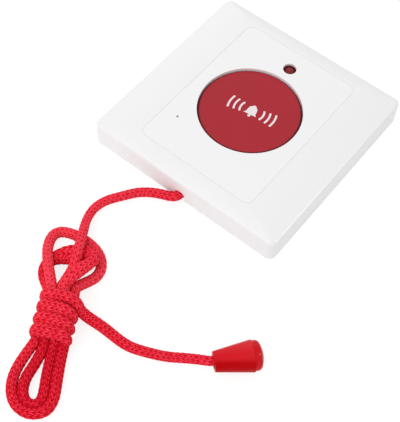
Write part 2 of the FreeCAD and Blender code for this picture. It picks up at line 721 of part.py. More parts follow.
def make_back_plate():
    """The plate that is screwed to the wall: slots, snap hooks and the guide of the slider."""
    body = new_body("back_plate")
    sketch = new_sketch(body)
    draw_rectangle(sketch, "2 * " + BACK_HALF, "2 * " + BACK_HALF)
    pad(body, sketch, "Sizes.back_thickness")

    # Slots for the wall screws, sunk on the inside for their heads.
    for x in ("-Sizes.screw_spacing / 2", "Sizes.screw_spacing / 2"):
        for radius, start, depth in (
            ("Sizes.screw_slot_radius", ZERO, "Sizes.back_thickness + 1"),
            (
                "Sizes.screw_head_radius",
                "Sizes.back_thickness - Sizes.screw_head_depth",
                "Sizes.screw_head_depth + 1",
            ),
        ):
            sketch = new_sketch(body, at=(x, ZERO, start))
            draw_slot(sketch, radius, "Sizes.screw_slot_length / 2 - Sizes.screw_slot_radius")
            pocket(body, sketch, depth, up=True)

    # Slot that the cord and its ferrule run in, from the lower edge inwards.
    channel_half = "(Sizes.ferrule_radius + 2 * Sizes.ferrule_gap)"
    channel_end = "(%s - Sizes.slider_end_gap)" % RAIL_BACK
    channel = new_sketch(body)
    draw_outline(
        channel,
        [
            ("-" + channel_half, "-%s - 1" % BACK_HALF),
            (channel_half, "-%s - 1" % BACK_HALF),
            (channel_half, "-" + channel_end),
            ("-" + channel_half, "-" + channel_end),
        ],
    )
    pocket(body, channel, "Sizes.back_thickness + 1", up=True)

    # Rails on both sides of the slider and a stop behind it.
    rail_x = "(Sizes.slider_width / 2 + Sizes.slider_gap + Sizes.rail_thickness / 2)"
    rail_back = RAIL_BACK
    rail_length = "(%s - %s - Sizes.slider_end_gap)" % (BACK_HALF, rail_back)
    for sign in ("-", ""):
        y = "-%s - %s / 2" % (rail_back, rail_length)
        sketch = new_sketch(body, at=(sign + rail_x, y, "Sizes.back_thickness - 0.2"))
        draw_rectangle(sketch, "Sizes.rail_thickness", rail_length)
        pad(body, sketch, "Sizes.rail_height + 0.2")
        stop_start = "(%s + Sizes.stop_gap)" % channel_half
        stop_length = "(%s + Sizes.rail_thickness / 2 - %s)" % (rail_x, stop_start)
        stop_x = "%s(%s + %s / 2)" % (sign, stop_start, stop_length)
        stop_y = "-%s + Sizes.rail_thickness / 2" % rail_back
        sketch = new_sketch(body, at=(stop_x, stop_y, "Sizes.back_thickness - 0.2"))
        draw_rectangle(sketch, stop_length, "Sizes.rail_thickness")
        pad(body, sketch, "Sizes.rail_height + 0.2")

    # Hooks along both sides: an upright tongue with a nose that points outwards.
    for sign in ("-", ""):
        for y in ("-Sizes.hook_pitch / 2", "Sizes.hook_pitch / 2"):
            sketch = new_sketch(
                body,
                "XZ_Plane",
                at=(ZERO, ZERO, "-(%s)" % y),
            )
            outer = "%s%s" % (sign, BACK_HALF)
            inner = "%s(%s - Sizes.hook_thickness)" % (sign, BACK_HALF)
            tip = "%s(%s + Sizes.nose_depth)" % (sign, BACK_HALF)
            nose_top = "Sizes.nose_bottom + Sizes.nose_height"
            draw_outline(
                sketch,
                [
                    (inner, "Sizes.back_thickness - 0.2"),
                    (outer, "Sizes.back_thickness - 0.2"),
                    (outer, "Sizes.nose_bottom"),
                    (tip, "Sizes.nose_bottom"),
                    (tip, "Sizes.nose_bottom + Sizes.nose_height / 3"),
                    (outer, nose_top),
                    (outer, "Sizes.hook_height"),
                    (inner, "Sizes.hook_height"),
                ],
            )
            pad(body, sketch, "Sizes.hook_width", symmetric=True)
    return body


def make_circuit_board():
    """The board: a notch for the slider, a round opening for the cell holder, and all its holes."""
    body = new_body("circuit_board")
    sketch = new_sketch(body, at=(ZERO, ZERO, "Sizes.board_bottom"))
    corners = [(-1, -1), (1, -1), (1, 1), (-1, 1)]
    draw_outline(
        sketch,
        [
            (BOARD_SIDE if x > 0 else "-" + BOARD_SIDE, BOARD_UPPER if y > 0 else "-" + BOARD_LOWER)
            for x, y in corners
        ],
    )
    pad(body, sketch, "Sizes.board_thickness")
    dress(body, "Fillet", is_upright, "Sizes.board_corner")
    notch_end = "(%s - Sizes.rail_thickness - Sizes.board_notch_gap)" % RAIL_BACK
    notch_start = "(%s + 1)" % BOARD_LOWER
    sketch = new_sketch(body, at=(ZERO, ZERO, "Sizes.board_bottom"))
    draw_outline(
        sketch,
        [
            ("-" + BOARD_NOTCH_HALF, "-" + notch_start),
            (BOARD_NOTCH_HALF, "-" + notch_start),
            (BOARD_NOTCH_HALF, "-" + notch_end),
            ("-" + BOARD_NOTCH_HALF, "-" + notch_end),
        ],
    )
    pocket(body, sketch, "3 * Sizes.board_thickness", symmetric=True)
    pin_hole = "Sizes.pin_radius + Sizes.pin_gap"
    cup_hole = "Sizes.cell_radius + 2 * Sizes.cell_gap + Sizes.holder_wall"
    holes = [(cup_hole,) + CELL]
    for x in ("-" + BOSS_X, BOSS_X):
        for y in ("-Sizes.boss_y", "Sizes.boss_y"):
            holes.append(("Sizes.board_screw_hole_radius", x, y))
    for x in ("-Sizes.switch_pin_spread", "Sizes.switch_pin_spread"):
        for y in ("-Sizes.switch_pin_spread", "Sizes.switch_pin_spread"):
            holes.append((pin_hole, x, y))
    for x in ("-Sizes.led_pin_spread", "Sizes.led_pin_spread"):
        holes.append((pin_hole, x, LED_Y))
    for sign in ("-", "+"):
        pin_y = "(%s %s Sizes.reed_pin_spread)" % (REED_Y, sign)
        holes.append(("Sizes.reed_pin_radius + Sizes.pin_gap", REED_X, pin_y))
    for radius, x, y in holes:
        sketch = new_sketch(body, at=(x, y, "Sizes.board_bottom"))
        draw_circle(sketch, radius)
        pocket(body, sketch, "3 * Sizes.board_thickness", symmetric=True)
    sketch = new_sketch(body, at=(ZERO, ZERO, "Sizes.board_bottom"))
    draw_circle(sketch, "Sizes.post_radius + Sizes.post_gap", x="Sizes.post_circle")
    hole = pocket(body, sketch, "3 * Sizes.board_thickness", symmetric=True)
    polar(body, [hole], "3")
    return body


def make_call_button():
    """The push button: a shallow cup with a retaining flange, ribs, a stem and guide posts."""
    body = new_body("call_button")
    skirt_end = "(%s - Sizes.skirt_depth)" % BUTTON_FACE
    flange_top = "(%s - Sizes.flange_gap)" % LEDGE_TOP
    flange_bottom = "(%s - Sizes.flange_gap - Sizes.flange_thickness)" % LEDGE_TOP
    outer = "Sizes.button_radius"
    inner = "Sizes.button_radius - Sizes.skirt_thickness"
    flange = "Sizes.button_radius + Sizes.flange_overhang"
    sketch = new_sketch(body, "XZ_Plane")
    draw_outline(
        sketch,
        [
            (ZERO, BUTTON_FACE),
            (outer, BUTTON_FACE),
            (outer, flange_top),
            (flange, flange_top),
            (flange, flange_bottom),
            (outer, flange_bottom),
            (outer, skirt_end),
            (inner, skirt_end),
            (inner, CAP_UNDERSIDE),
            (ZERO, CAP_UNDERSIDE),
        ],
    )
    revolve(body, sketch)
    face = size["face_height"] - size["button_recess"]
    dress(
        body,
        "Fillet",
        lambda edge: is_level(edge, face) and circle_on_axis(edge, size["button_radius"]),
        "Sizes.button_edge",
    )

    # Stem over the switch, and the collar that centres the return spring.
    sketch = new_sketch(body, at=(ZERO, ZERO, PLUNGER_TOP))
    draw_circle(sketch, "Sizes.stem_radius")
    pad(body, sketch, CAP_UNDERSIDE + " - " + PLUNGER_TOP + " + 0.2")
    collar_inner = "Sizes.spring_radius + Sizes.spring_wire / 2 + Sizes.collar_gap"
    sketch = new_sketch(body, at=(ZERO, ZERO, CAP_UNDERSIDE + " - Sizes.collar_depth"))
    draw_circle(sketch, collar_inner)
    draw_circle(sketch, collar_inner + " + Sizes.collar_thickness")
    pad(body, sketch, "Sizes.collar_depth + 0.2")

    # Stiffening ribs between the collar and the skirt.
    rib_start = "(%s + Sizes.collar_thickness / 2)" % collar_inner
    rib_length = "(%s + 0.3 - %s)" % (inner, rib_start)
    sketch = new_sketch(
        body, at=("%s + %s / 2" % (rib_start, rib_length), ZERO, CAP_UNDERSIDE + " - Sizes.rib_depth")
    )
    draw_rectangle(sketch, rib_length, "Sizes.rib_thickness")
    rib = pad(body, sketch, "Sizes.rib_depth + 0.2")
    polar(body, [rib], "Sizes.rib_count")

    # Three posts that slide in the circuit board keep the button level.
    post_end = "(%s - Sizes.post_reach)" % BOARD_TOP
    sketch = new_sketch(body, at=(ZERO, ZERO, post_end))
    draw_circle(sketch, "Sizes.post_radius", x="Sizes.post_circle")
    post = pad(body, sketch, CAP_UNDERSIDE + " - " + post_end + " + 0.2")
    polar(body, [post], "3")
    return body


def make_coil(name, radius, wire, turns, low, high, plane="XZ_Plane", at=(ZERO, ZERO)):
    """A coil spring between two heights along the body's own Z axis."""
    body = new_body(name)
    sketch = new_sketch(body, plane)
    draw_circle(sketch, wire + " / 2", x=radius, y="%s + %s / 2" % (low, wire))
    helix = body.newObject("PartDesign::AdditiveHelix", "Coil")
    helix.Profile = sketch
    helix.ReferenceAxis = (origin_feature(body, "Z_Axis"), [""])
    helix.Mode = "height-turns-angle"
    helix.setExpression("Height", "%s - %s - %s" % (high, low, wire))
    helix.setExpression("Turns", turns)
    doc.recompute()
    return body


def make_call_switch():
    """The push switch under the stem: a square case with a well for its plunger."""
    body = new_body("call_switch")
    sketch = new_sketch(body, at=(ZERO, ZERO, BOARD_TOP))
    draw_rectangle(sketch, "Sizes.switch_side", "Sizes.switch_side")
    pad(body, sketch, "Sizes.switch_height")
    dress(body, "Chamfer", is_upright, "Sizes.switch_side / 12")
    sketch = new_sketch(body, at=(ZERO, ZERO, BOARD_TOP + " + Sizes.switch_floor"))
    draw_circle(sketch, "Sizes.plunger_radius + Sizes.plunger_gap")
    pocket(body, sketch, "Sizes.switch_height", up=True)
    return body


def make_cylinder(name, radius, height, x=ZERO, y=ZERO, z=ZERO):
    """A round bar that stands on the point (x, y, z)."""
    bar = doc.addObject("Part::Cylinder", name)
    bind(bar, Radius=radius, Height=height)
    bind(bar, Placement__Base__x=x, Placement__Base__y=y, Placement__Base__z=z)
    return bar


def make_pins(name, radius, places, low, high):
    """Round contact pins at several places, one node of separate solids."""
    pins = []
    for index, (x, y) in enumerate(places, start=1):
        pins.append(make_cylinder("%s_%d" % (name, index), radius, high + " - " + low, x, y, low))
    group = doc.addObject("Part::Compound", name)
    group.Label = name
    group.Links = pins
    return group


def make_led():
    """The indicator: a round lens with a domed end on a wider foot."""
    body = new_body("indicator_led")
    top = "(Sizes.face_height - Sizes.led_recess)"
    sketch = new_sketch(body, at=(ZERO, LED_Y, BOARD_TOP))
    draw_circle(sketch, "Sizes.led_flange_radius")
    pad(body, sketch, "Sizes.led_flange_height")
    sketch = new_sketch(body, at=(ZERO, LED_Y, BOARD_TOP))
    draw_circle(sketch, "Sizes.led_radius")
    pad(body, sketch, top + " - " + BOARD_TOP)
    level = size["face_height"] - size["led_recess"]
    dress(body, "Fillet", lambda edge: is_level(edge, level), "Sizes.led_radius * 0.8")
    return body


def make_buzzer():
    """The sounder under the pinhole, with its own sound hole."""
    body = new_body("buzzer")
    place = PINHOLE
    sketch = new_sketch(body, at=place + (BOARD_TOP,))
    draw_circle(sketch, "Sizes.buzzer_radius")
    pad(body, sketch, "Sizes.buzzer_height")
    level = size["board_bottom"] + size["board_thickness"] + size["buzzer_height"]
    dress(body, "Fillet", lambda edge: is_level(edge, level), "Sizes.buzzer_edge")
    sketch = new_sketch(body, at=place + (BOARD_TOP + " + Sizes.buzzer_height",))
    draw_circle(sketch, "Sizes.sound_hole_radius")
    pocket(body, sketch, "Sizes.sound_hole_depth")
    return body


def make_battery():
    """The coin cell in its cup, which opens to the back, and the spring clip across it."""
    place = CELL
    cup_inner = "(Sizes.cell_radius + Sizes.cell_gap)"
    cup_outer = "(Sizes.cell_radius + Sizes.cell_gap + Sizes.holder_wall)"
    cell_top = "(Sizes.holder_top - Sizes.holder_roof)"
    cell_bottom = "(Sizes.holder_top - Sizes.holder_roof - Sizes.cell_height)"
    clip_bottom = "(%s - Sizes.clip_thickness)" % cell_bottom

    holder = new_body("battery_holder")
    sketch = new_sketch(holder, at=place + (clip_bottom,))
    draw_circle(sketch, cup_outer)
    pad(holder, sketch, "Sizes.holder_top - " + clip_bottom)
    sketch = new_sketch(holder, at=place + (BOARD_TOP,))
    draw_circle(sketch, cup_outer + " + Sizes.holder_flange")
    pad(holder, sketch, "Sizes.holder_flange_thickness")
    sketch = new_sketch(holder, at=place + (clip_bottom,))
    draw_circle(sketch, cup_inner)
    pocket(holder, sketch, cell_top + " - " + clip_bottom, up=True)
    sketch = new_sketch(holder, at=place + (clip_bottom,))
    draw_rectangle(sketch, "2 * %s + 2" % cup_outer, "Sizes.clip_width + 0.4")
    pocket(holder, sketch, "Sizes.clip_thickness", up=True)

    cell = new_body("coin_cell")
    sketch = new_sketch(cell, at=place + (cell_bottom,))
    draw_circle(sketch, "Sizes.cell_radius")
    pad(cell, sketch, "Sizes.cell_height")
    high = size["holder_top"] - size["holder_roof"]
    dress(cell, "Fillet", lambda edge: is_level(edge, high), "Sizes.cell_height / 6")

    clip = new_body("battery_clip")
    sketch = new_sketch(clip, at=place + (clip_bottom,))
    draw_rectangle(sketch, "2 * " + cup_outer, "Sizes.clip_width")
    pad(clip, sketch, "Sizes.clip_thickness")
    return [holder, cell, clip]


def make_radio():
    """The radio module: a small board with a shield can, and its aerial rod beside it."""
    module = new_body("radio_module")
    place = RADIO
    sketch = new_sketch(module, at=place + (BOARD_TOP,))
    draw_rectangle(sketch, "Sizes.radio_width", "Sizes.radio_length")
    pad(module, sketch, "Sizes.radio_base")
    sketch = new_sketch(module, at=place + (BOARD_TOP + " + Sizes.radio_base - 0.1",))
    draw_rectangle(
        sketch,
        "Sizes.radio_width - 2 * Sizes.radio_can_inset",
        "Sizes.radio_length - 2 * Sizes.radio_can_inset",
    )
    pad(module, sketch, "Sizes.radio_can_height + 0.1")
    edge_low = size["board_bottom"] + size["board_thickness"] + size["radio_base"]
    dress(
        module,
        "Fillet",
        lambda edge: is_upright(edge) and edge.BoundBox.ZMin > edge_low - 0.01,
        "Sizes.radio_can_inset",
    )
    return module


def make_rod(name, radius, length, x=ZERO, y=ZERO, z=ZERO):
    """A round bar along +Y that starts at the point (x, y, z)."""
    bar = doc.addObject("Part::Cylinder", name)
    bind(bar, Radius=radius, Height=length)
    bar.Placement.Rotation = FreeCAD.Rotation(FreeCAD.Vector(1, 0, 0), -90)
    bind(bar, Placement__Base__x=x, Placement__Base__y=y, Placement__Base__z=z)
    return bar


def make_ball(name, radius, x=ZERO, y=ZERO, z=ZERO):
    ball = doc.addObject("Part::Sphere", name)
    bind(ball, Radius=radius)
    bind(ball, Placement__Base__x=x, Placement__Base__y=y, Placement__Base__z=z)
    return ball


def join(name, things):
    """Solids fused to one node."""
    whole = doc.addObject("Part::MultiFuse", name)
    whole.Label = name
    whole.Shapes = things
    return whole


def make_aerial():
    """The aerial: a wire along the edge of the board, both ends bent down to it."""
    x = "(%s - Sizes.aerial_inset)" % BOARD_SIDE
    front = "(%s + Sizes.radio_length / 2)" % RADIO[1]
    back = "(Sizes.boss_y + Sizes.boss_radius + Sizes.aerial_gap)"
    high = "(%s + Sizes.aerial_height)" % BOARD_TOP
    radius = "Sizes.aerial_radius"
    pieces = [make_rod("aerial_run", radius, front + " - " + back, x, back, high)]
    for y in (back, front):
        pieces.append(make_cylinder("aerial_end", radius, "Sizes.aerial_height", x, y, BOARD_TOP))
        pieces.append(make_ball("aerial_bend", radius, x, y, high))
    return join("aerial", pieces)


def make_reed():
    """The reed switch beside the slider: a glass tube and its two bent leads."""
    middle = "(%s + Sizes.reed_height)" % BOARD_TOP
    low = "(Sizes.board_bottom - Sizes.pin_reach)"
    tube_start = "(%s - Sizes.reed_length / 2)" % REED_Y
    tube = make_rod(
        "reed_switch", "Sizes.reed_radius", "Sizes.reed_length", REED_X, tube_start, middle
    )
    tube.Label = "reed_switch"
    radius = "Sizes.reed_pin_radius"
    run = "(Sizes.reed_pin_spread - Sizes.reed_length / 2)"
    lower = "(%s - Sizes.reed_pin_spread)" % REED_Y
    upper = "(%s + Sizes.reed_pin_spread)" % REED_Y
    pieces = []
    for end, start in ((lower, lower), (upper, "(%s + Sizes.reed_length / 2)" % REED_Y)):
        pieces.append(make_rod("reed_run", radius, run, REED_X, start, middle))
        pieces.append(make_ball("reed_bend", radius, REED_X, end, middle))
        pin_height = "%s - %s" % (middle, low)
        pieces.append(make_cylinder("reed_pin", radius, pin_height, REED_X, end, low))
    return [tube, join("reed_leads", pieces)]


def make_board_screws():
    """The four screws that hold the board: a flat head and a plain shank."""
    low = "(Sizes.board_bottom - Sizes.board_screw_head_height)"
    head = ("Sizes.board_screw_head_radius", "Sizes.board_screw_head_height")
    shank = (
        "Sizes.board_screw_radius",
        "Sizes.board_screw_head_height + Sizes.board_screw_length",
    )
    pieces = []
    for x in ("-" + BOSS_X, BOSS_X):
        for y in ("-Sizes.boss_y", "Sizes.boss_y"):
            for radius, height in (head, shank):
                pieces.append(make_cylinder("screw_part", radius, height, x, y, low))
    return join("board_screws", pieces)


def make_box(name, width, length, height, x, y, z):
    """A block centred on x and y that stands on z."""
    block = doc.addObject("Part::Box", name)
    block.Label = name
    bind(block, Width=length, Length=width, Height=height)
    bind(
        block,
        Placement__Base__x="%s - (%s) / 2" % (x, width),
        Placement__Base__y="%s - (%s) / 2" % (y, length),
        Placement__Base__z=z,
    )
    return block


def make_control_chip():
    """The control chip, a flat square block on the board."""
    side = "Sizes.chip_side"
    place = ("Sizes.chip_x", "Sizes.chip_y", BOARD_TOP)
    return make_box("control_chip", side, side, "Sizes.chip_height", *place)


def make_switch_plunger():
    """The plunger in the switch's well; the button's stem rests on it."""
    low = "(%s + Sizes.switch_floor + Sizes.button_travel + Sizes.plunger_floor_gap)" % BOARD_TOP
    height = "%s - %s" % (PLUNGER_TOP, low)
    plunger = make_cylinder("switch_plunger", "Sizes.plunger_radius", height, z=low)
    plunger.Label = "switch_plunger"
    return plunger


def make_slider():
    """The slider that the cord pulls, its magnet, and the ferrule clamped on the cord."""
    body = new_body("cord_slider")
    middle = "-(%s - Sizes.slider_length / 2)" % SLIDER_FRONT
    top = "(%s + Sizes.slider_height)" % SLIDER_BOTTOM
    sketch = new_sketch(body, at=(ZERO, middle, SLIDER_BOTTOM))
    draw_rectangle(sketch, "Sizes.slider_width", "Sizes.slider_length")
    pad(body, sketch, "Sizes.slider_height")
    dress(body, "Fillet", is_upright, "Sizes.slider_edge")

    # Groove for the cord, open below, and a wider bay at the back for the ferrule.
    groove = "(%s + Sizes.cord_groove_gap)" % CORD_RADIUS
    bay = "(Sizes.ferrule_radius + Sizes.ferrule_gap)"
    for radius, start, depth in (
        (groove, SLIDER_FRONT + " + 1", "Sizes.slider_length + 2"),
        (bay, SLIDER_BACK + " + Sizes.ferrule_length", "Sizes.ferrule_length + 1"),
    ):
        sketch = new_sketch(body, "XZ_Plane", at=(ZERO, ZERO, start))
        draw_arch(sketch, radius, "Sizes.cord_height", SLIDER_BOTTOM + " - 1")
        pocket(body, sketch, depth)

    # Spigots for the two return springs.
    for x in ("-Sizes.coil_x", "Sizes.coil_x"):
        height = SLIDER_BOTTOM + " + Sizes.slider_height / 2"
        sketch = new_sketch(body, "XZ_Plane", at=(x, height, SLIDER_FRONT + " - 0.2"))
        draw_circle(sketch, "Sizes.spigot_radius")
        pad(body, sketch, "Sizes.coil_length - Sizes.pull_travel - Sizes.spigot_gap + 0.2")

    # Pocket in the top for the magnet.
    sketch = new_sketch(body, at=("Sizes.magnet_x", middle, top))
    draw_rectangle(
        sketch,
        "Sizes.magnet_width + 2 * Sizes.magnet_gap",
        "Sizes.magnet_length + 2 * Sizes.magnet_gap",
    )
    pocket(body, sketch, "Sizes.magnet_height")
    magnet = make_box(
        "slider_magnet",
        "Sizes.magnet_width",
        "Sizes.magnet_length",
        "Sizes.magnet_height",
        "Sizes.magnet_x",
        middle,
        top + " - Sizes.magnet_height",
    )

    ferrule = new_body("cord_ferrule")
    sketch = new_sketch(ferrule, "XZ_Plane", at=(ZERO, "Sizes.cord_height", SLIDER_BACK))
    draw_circle(sketch, "Sizes.ferrule_radius")
    draw_circle(sketch, CORD_RADIUS)
    pad(ferrule, sketch, "Sizes.ferrule_length")
    return [body, magnet, ferrule]


def make_slider_springs():
    """The two springs between the slider and the lower wall, which pull the cord back."""
    springs = []
    for side, x in (("left", "-Sizes.coil_x"), ("right", "Sizes.coil_x")):
        spring = make_coil(
            "slider_spring_" + side,
            "Sizes.coil_radius",
            "Sizes.coil_wire",
            "Sizes.coil_turns",
            "Sizes.coil_end_gap",
            "Sizes.coil_length",
        )
        spring.Placement.Rotation = FreeCAD.Rotation(FreeCAD.Vector(1, 0, 0), 90)
        bind(
            spring,
            Placement__Base__x=x,
            Placement__Base__y="-" + SLIDER_FRONT,
            Placement__Base__z=SLIDER_BOTTOM + " + Sizes.slider_height / 2",
        )
        springs.append(spring)
    return springs


def bent_wire(corners):
    """Straight runs between corners, joined by tangent arcs; also the radii of the arcs."""
    edges = []
    radii = []
    start = corners[0]
    for before, corner, after in zip(corners, corners[1:], corners[2:]):
        back = before - corner
        on = after - corner
        shorter = min(back.Length, on.Length)
        back.normalize()
        on.normalize()
        half_turn = (math.pi - back.getAngle(on)) / 2
        radius = 0.45 * shorter / math.tan(half_turn)
        first = corner + back * 0.45 * shorter
        last = corner + on * 0.45 * shorter
        inward = (back + on).normalize()
        middle = corner + inward * (radius / math.cos(half_turn) - radius)
        edges.append(Part.LineSegment(start, first).toShape())
        edges.append(Part.Arc(first, middle, last).toShape())
        radii.append(radius)
        start = last
    edges.append(Part.LineSegment(start, corners[-1]).toShape())
    return Part.Wire(edges), radii


def make_tube(name, corners, radius):
    """A round cord along the bent wire, its volume compared with section times length."""
    wire, radii = bent_wire(corners)
    along = (corners[1] - corners[0]).normalize()
    ring = Part.Wire([Part.Circle(corners[0], along, radius).toShape()])
    solid = wire.makePipeShell([ring], True, False)
    thing = doc.addObject("Part::Feature", name)
    thing.Label = name
    thing.Shape = solid
    expected = math.pi * radius**2 * wire.Length
    print("%s: length %.1f, bend radii %s" % (name, wire.Length, [round(r, 1) for r in radii]))
    print("%s: volume %.1f, section times length %.1f" % (name, solid.Volume, expected))
    if abs(solid.Volume - expected) > 0.01 * expected:
        raise RuntimeError(name + " has the wrong volume")
    return thing


def make_cord():
    """The cord's own solids: the part inside, the free lead and the tail up to the knot."""
    radius = size["cord_diameter"] / 2
    inner = doc.addObject("Part::Cylinder", "cord_inner")
    inner.Label = "cord_inner"
    start = "(%s + Sizes.stop_gap)" % SLIDER_BACK
    end = "(%s - Sizes.cord_split_gap)" % INNER_HALF
    bind(inner, Radius=CORD_RADIUS, Height="%s - %s" % (end, start))
    inner.Placement.Rotation = FreeCAD.Rotation(FreeCAD.Vector(1, 0, 0), 90)
    bind(inner, Placement__Base__y="-" + start, Placement__Base__z="Sizes.cord_height")
    lead = [FreeCAD.Vector(*point) for point in LEAD_ROUTE]
    tail = [FreeCAD.Vector(*point) for point in TAIL_ROUTE]
    tail.append(handle_point(knot_middle() - size["knot_radius"]))
    return [
        inner,
        make_tube("cord_lead", lead, radius),
        make_tube("cord_tail", tail, radius),
    ]


def knot_middle():
    """How far the knot's centre lies from the mouth when it rests on the rim of the bore."""
    bore = size["cord_diameter"] / 2 + size["handle_mouth_gap"]
    return size["handle_mouth"] + math.sqrt(size["knot_radius"] ** 2 - bore**2) + 0.02


def handle_placement():
    """The handle rests on its wide rim, and the stiff cord holds its axis level."""
    slope = (size["handle_big_radius"] - size["handle_small_radius"]) / size["handle_length"]
    edge = size["handle_edge"]
    rise = size["handle_big_radius"] - edge * (slope + math.sqrt(1 + slope**2) - 1)
    turn = FreeCAD.Rotation(size["handle_heading"], 0, 0)
    return FreeCAD.Placement(FreeCAD.Vector(size["handle_x"], size["handle_y"], rise), turn)


def handle_point(along):
    """A point on the handle's axis, at a distance from its mouth."""
    return handle_placement().multVec(FreeCAD.Vector(along, 0, 0))


def make_handle():
    """The pull handle: a hollow cone, its domed end plug and the knot that it holds."""
    wall = "Sizes.handle_wall"
    bore = "(%s + Sizes.handle_mouth_gap)" % CORD_RADIUS
    shell = new_body("pull_handle")
    sketch = new_sketch(shell, "XZ_Plane")
    slope = "((Sizes.handle_big_radius - Sizes.handle_small_radius) / Sizes.handle_length)"
    seat = "(Sizes.handle_small_radius + %s * Sizes.handle_mouth - %s)" % (slope, wall)
    draw_outline(
        sketch,
        [
            (ZERO, bore),
            ("Sizes.handle_mouth", bore),
            ("Sizes.handle_mouth", seat),
            ("Sizes.handle_length", "Sizes.handle_big_radius - " + wall),
            ("Sizes.handle_length", "Sizes.handle_big_radius"),
            (ZERO, "Sizes.handle_small_radius"),
        ],
    )
    revolve(shell, sketch, "H_Axis")
    dress(shell, "Fillet", is_handle_rim, "Sizes.handle_edge")

    plug = new_body("handle_plug")
    sketch = new_sketch(plug, "XZ_Plane")
    spigot = "(Sizes.handle_big_radius - %s - Sizes.plug_gap - %s * Sizes.plug_spigot)" % (wall, slope)
    head = "(Sizes.handle_big_radius - Sizes.plug_inset)"
    draw_dome(
        sketch,
        ("Sizes.handle_length + Sizes.plug_length", ZERO),
        [
            ("Sizes.handle_length + Sizes.plug_length - Sizes.plug_crown", head),
            ("Sizes.handle_length", head),
            ("Sizes.handle_length", spigot),
            ("Sizes.handle_length - Sizes.plug_spigot", spigot),
            ("Sizes.handle_length - Sizes.plug_spigot", ZERO),
        ],
    )
    revolve(plug, sketch, "H_Axis")
    end = size["handle_length"] + size["plug_length"] - size["plug_crown"]
    dress(
        plug,
        "Fillet",
        lambda edge: abs(edge.BoundBox.XMin - end) < 1e-4 and abs(edge.BoundBox.XMax - end) < 1e-4,
        "Sizes.plug_round",
    )

    knot = doc.addObject("Part::Sphere", "handle_knot")
    knot.Label = "handle_knot"
    bind(knot, Radius="Sizes.knot_radius")
    knot.Placement = FreeCAD.Placement(handle_point(knot_middle()), FreeCAD.Rotation())
    for body in (shell, plug):
        body.Placement = handle_placement()
    return [shell, plug, knot]


def is_handle_rim(edge):
    """The two outer rims of the handle's cone, in its own axes."""
    box = edge.BoundBox
    if box.XLength > 1e-4:
        return False
    reach = box.ZMax
    small = abs(box.XMin) < 1e-4 and abs(reach - size["handle_small_radius"]) < 1e-3
    big = abs(box.XMin - size["handle_length"]) < 1e-4 and abs(reach - size["handle_big_radius"]) < 1e-3
    return small or big


def make_hank():
    """The wound hank as one solid: a wrapped waist between two flat fans of loops."""
    fans = []
    for end, sign in (("top", 1), ("bottom", -1)):
        fan = new_body("hank_%s_fan" % end)
        aliases = [end + "_loop_" + word for word in ("x", "y", "radius", "height")]
        x, y, radius, height = ["Sizes." + alias for alias in aliases]
        neck_y = ("" if sign > 0 else "-") + "Sizes.loop_neck_y"
        start = [sign * size["loop_neck_y"], size["loop_neck_radius"]]
        start += [size[alias] for alias in aliases[:3]]
        sketch = new_sketch(fan)
        draw_egg(sketch, neck_y, "Sizes.loop_neck_radius", x, y, radius, start)
        pad(fan, sketch, height)
        dress(fan, "Fillet", lambda edge: is_level(edge, size[aliases[3]]), "Sizes.hank_round")
        fans.append(fan)

    wrap = new_body("hank_wrap")
    sketch = new_sketch(wrap, "XZ_Plane", at=(ZERO, "Sizes.wrap_height / 2", ZERO))
    draw_rectangle(sketch, "Sizes.wrap_width", "Sizes.wrap_height")
    pad(wrap, sketch, "Sizes.wrap_length", symmetric=True)
    dress(wrap, "Fillet", lambda edge: edge.BoundBox.YLength > 1, "Sizes.wrap_corner")
    dress(wrap, "Fillet", lambda edge: edge.BoundBox.YLength < 1e-4, "Sizes.hank_round")

    hank = join("cord_hank", fans + [wrap])
    turn = FreeCAD.Rotation(FreeCAD.Vector(0, 0, 1), size["hank_turn"])
    hank.Placement = FreeCAD.Placement(FreeCAD.Vector(size["hank_x"], size["hank_y"], 0), turn)
    return hank


def make_all():
    """Every sub-part of the unit, in the order of assembly."""
    parts = [make_front_frame(), make_face_panel(), make_back_plate(), make_call_button()]
    parts.append(
        make_coil(
            "button_spring",
            "Sizes.spring_radius",
            "Sizes.spring_wire",
            "Sizes.spring_turns",
            BOARD_TOP,
            CAP_UNDERSIDE + " - Sizes.coil_end_gap",
        )
    )
    parts += [make_call_switch(), make_switch_plunger()]
    low = "(Sizes.board_bottom - Sizes.pin_reach)"
    spread = "Sizes.switch_pin_spread"
    places = [(x, y) for x in ("-" + spread, spread) for y in ("-" + spread, spread)]
    parts.append(make_pins("switch_pins", "Sizes.pin_radius", places, low, BOARD_TOP))
    parts += [make_circuit_board(), make_board_screws(), make_led()]
    spread = "Sizes.led_pin_spread"
    places = [("-" + spread, LED_Y), (spread, LED_Y)]
    parts.append(make_pins("led_leads", "Sizes.pin_radius", places, low, BOARD_TOP))
    parts.append(make_buzzer())
    parts += make_battery()
    parts += [make_radio(), make_aerial(), make_control_chip()]
    parts += make_reed()
    parts += make_slider()
    parts += make_slider_springs()
    parts += make_cord()
    parts.append(make_hank())
    parts += make_handle()
    return parts


def check_and_write(parts):
    """Stop on any object in error, then write each sub-part to its own file."""
    doc.recompute()
    for thing in doc.Objects:
        if "Invalid" in thing.State or "Error" in thing.State:
            raise RuntimeError("%s (%s) is in error" % (thing.Name, thing.Label))
    os.makedirs("parts", exist_ok=True)
    for part in parts:
        if part.Shape.isNull() or not part.Shape.isValid():
            raise RuntimeError(part.Label + " has no valid shape")
        part.Shape.exportStep("parts/%s.step" % part.Label)
        box = part.Shape.BoundBox
        print(
            "%-20s %d solids, volume %9.2f, z %.2f to %.2f"
            % (part.Label, len(part.Shape.Solids), part.Shape.Volume, box.ZMin, box.ZMax)
        )


check_and_write(make_all())
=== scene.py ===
import math

import bmesh
import bpy
import numpy as np
from mathutils import Matrix, Vector


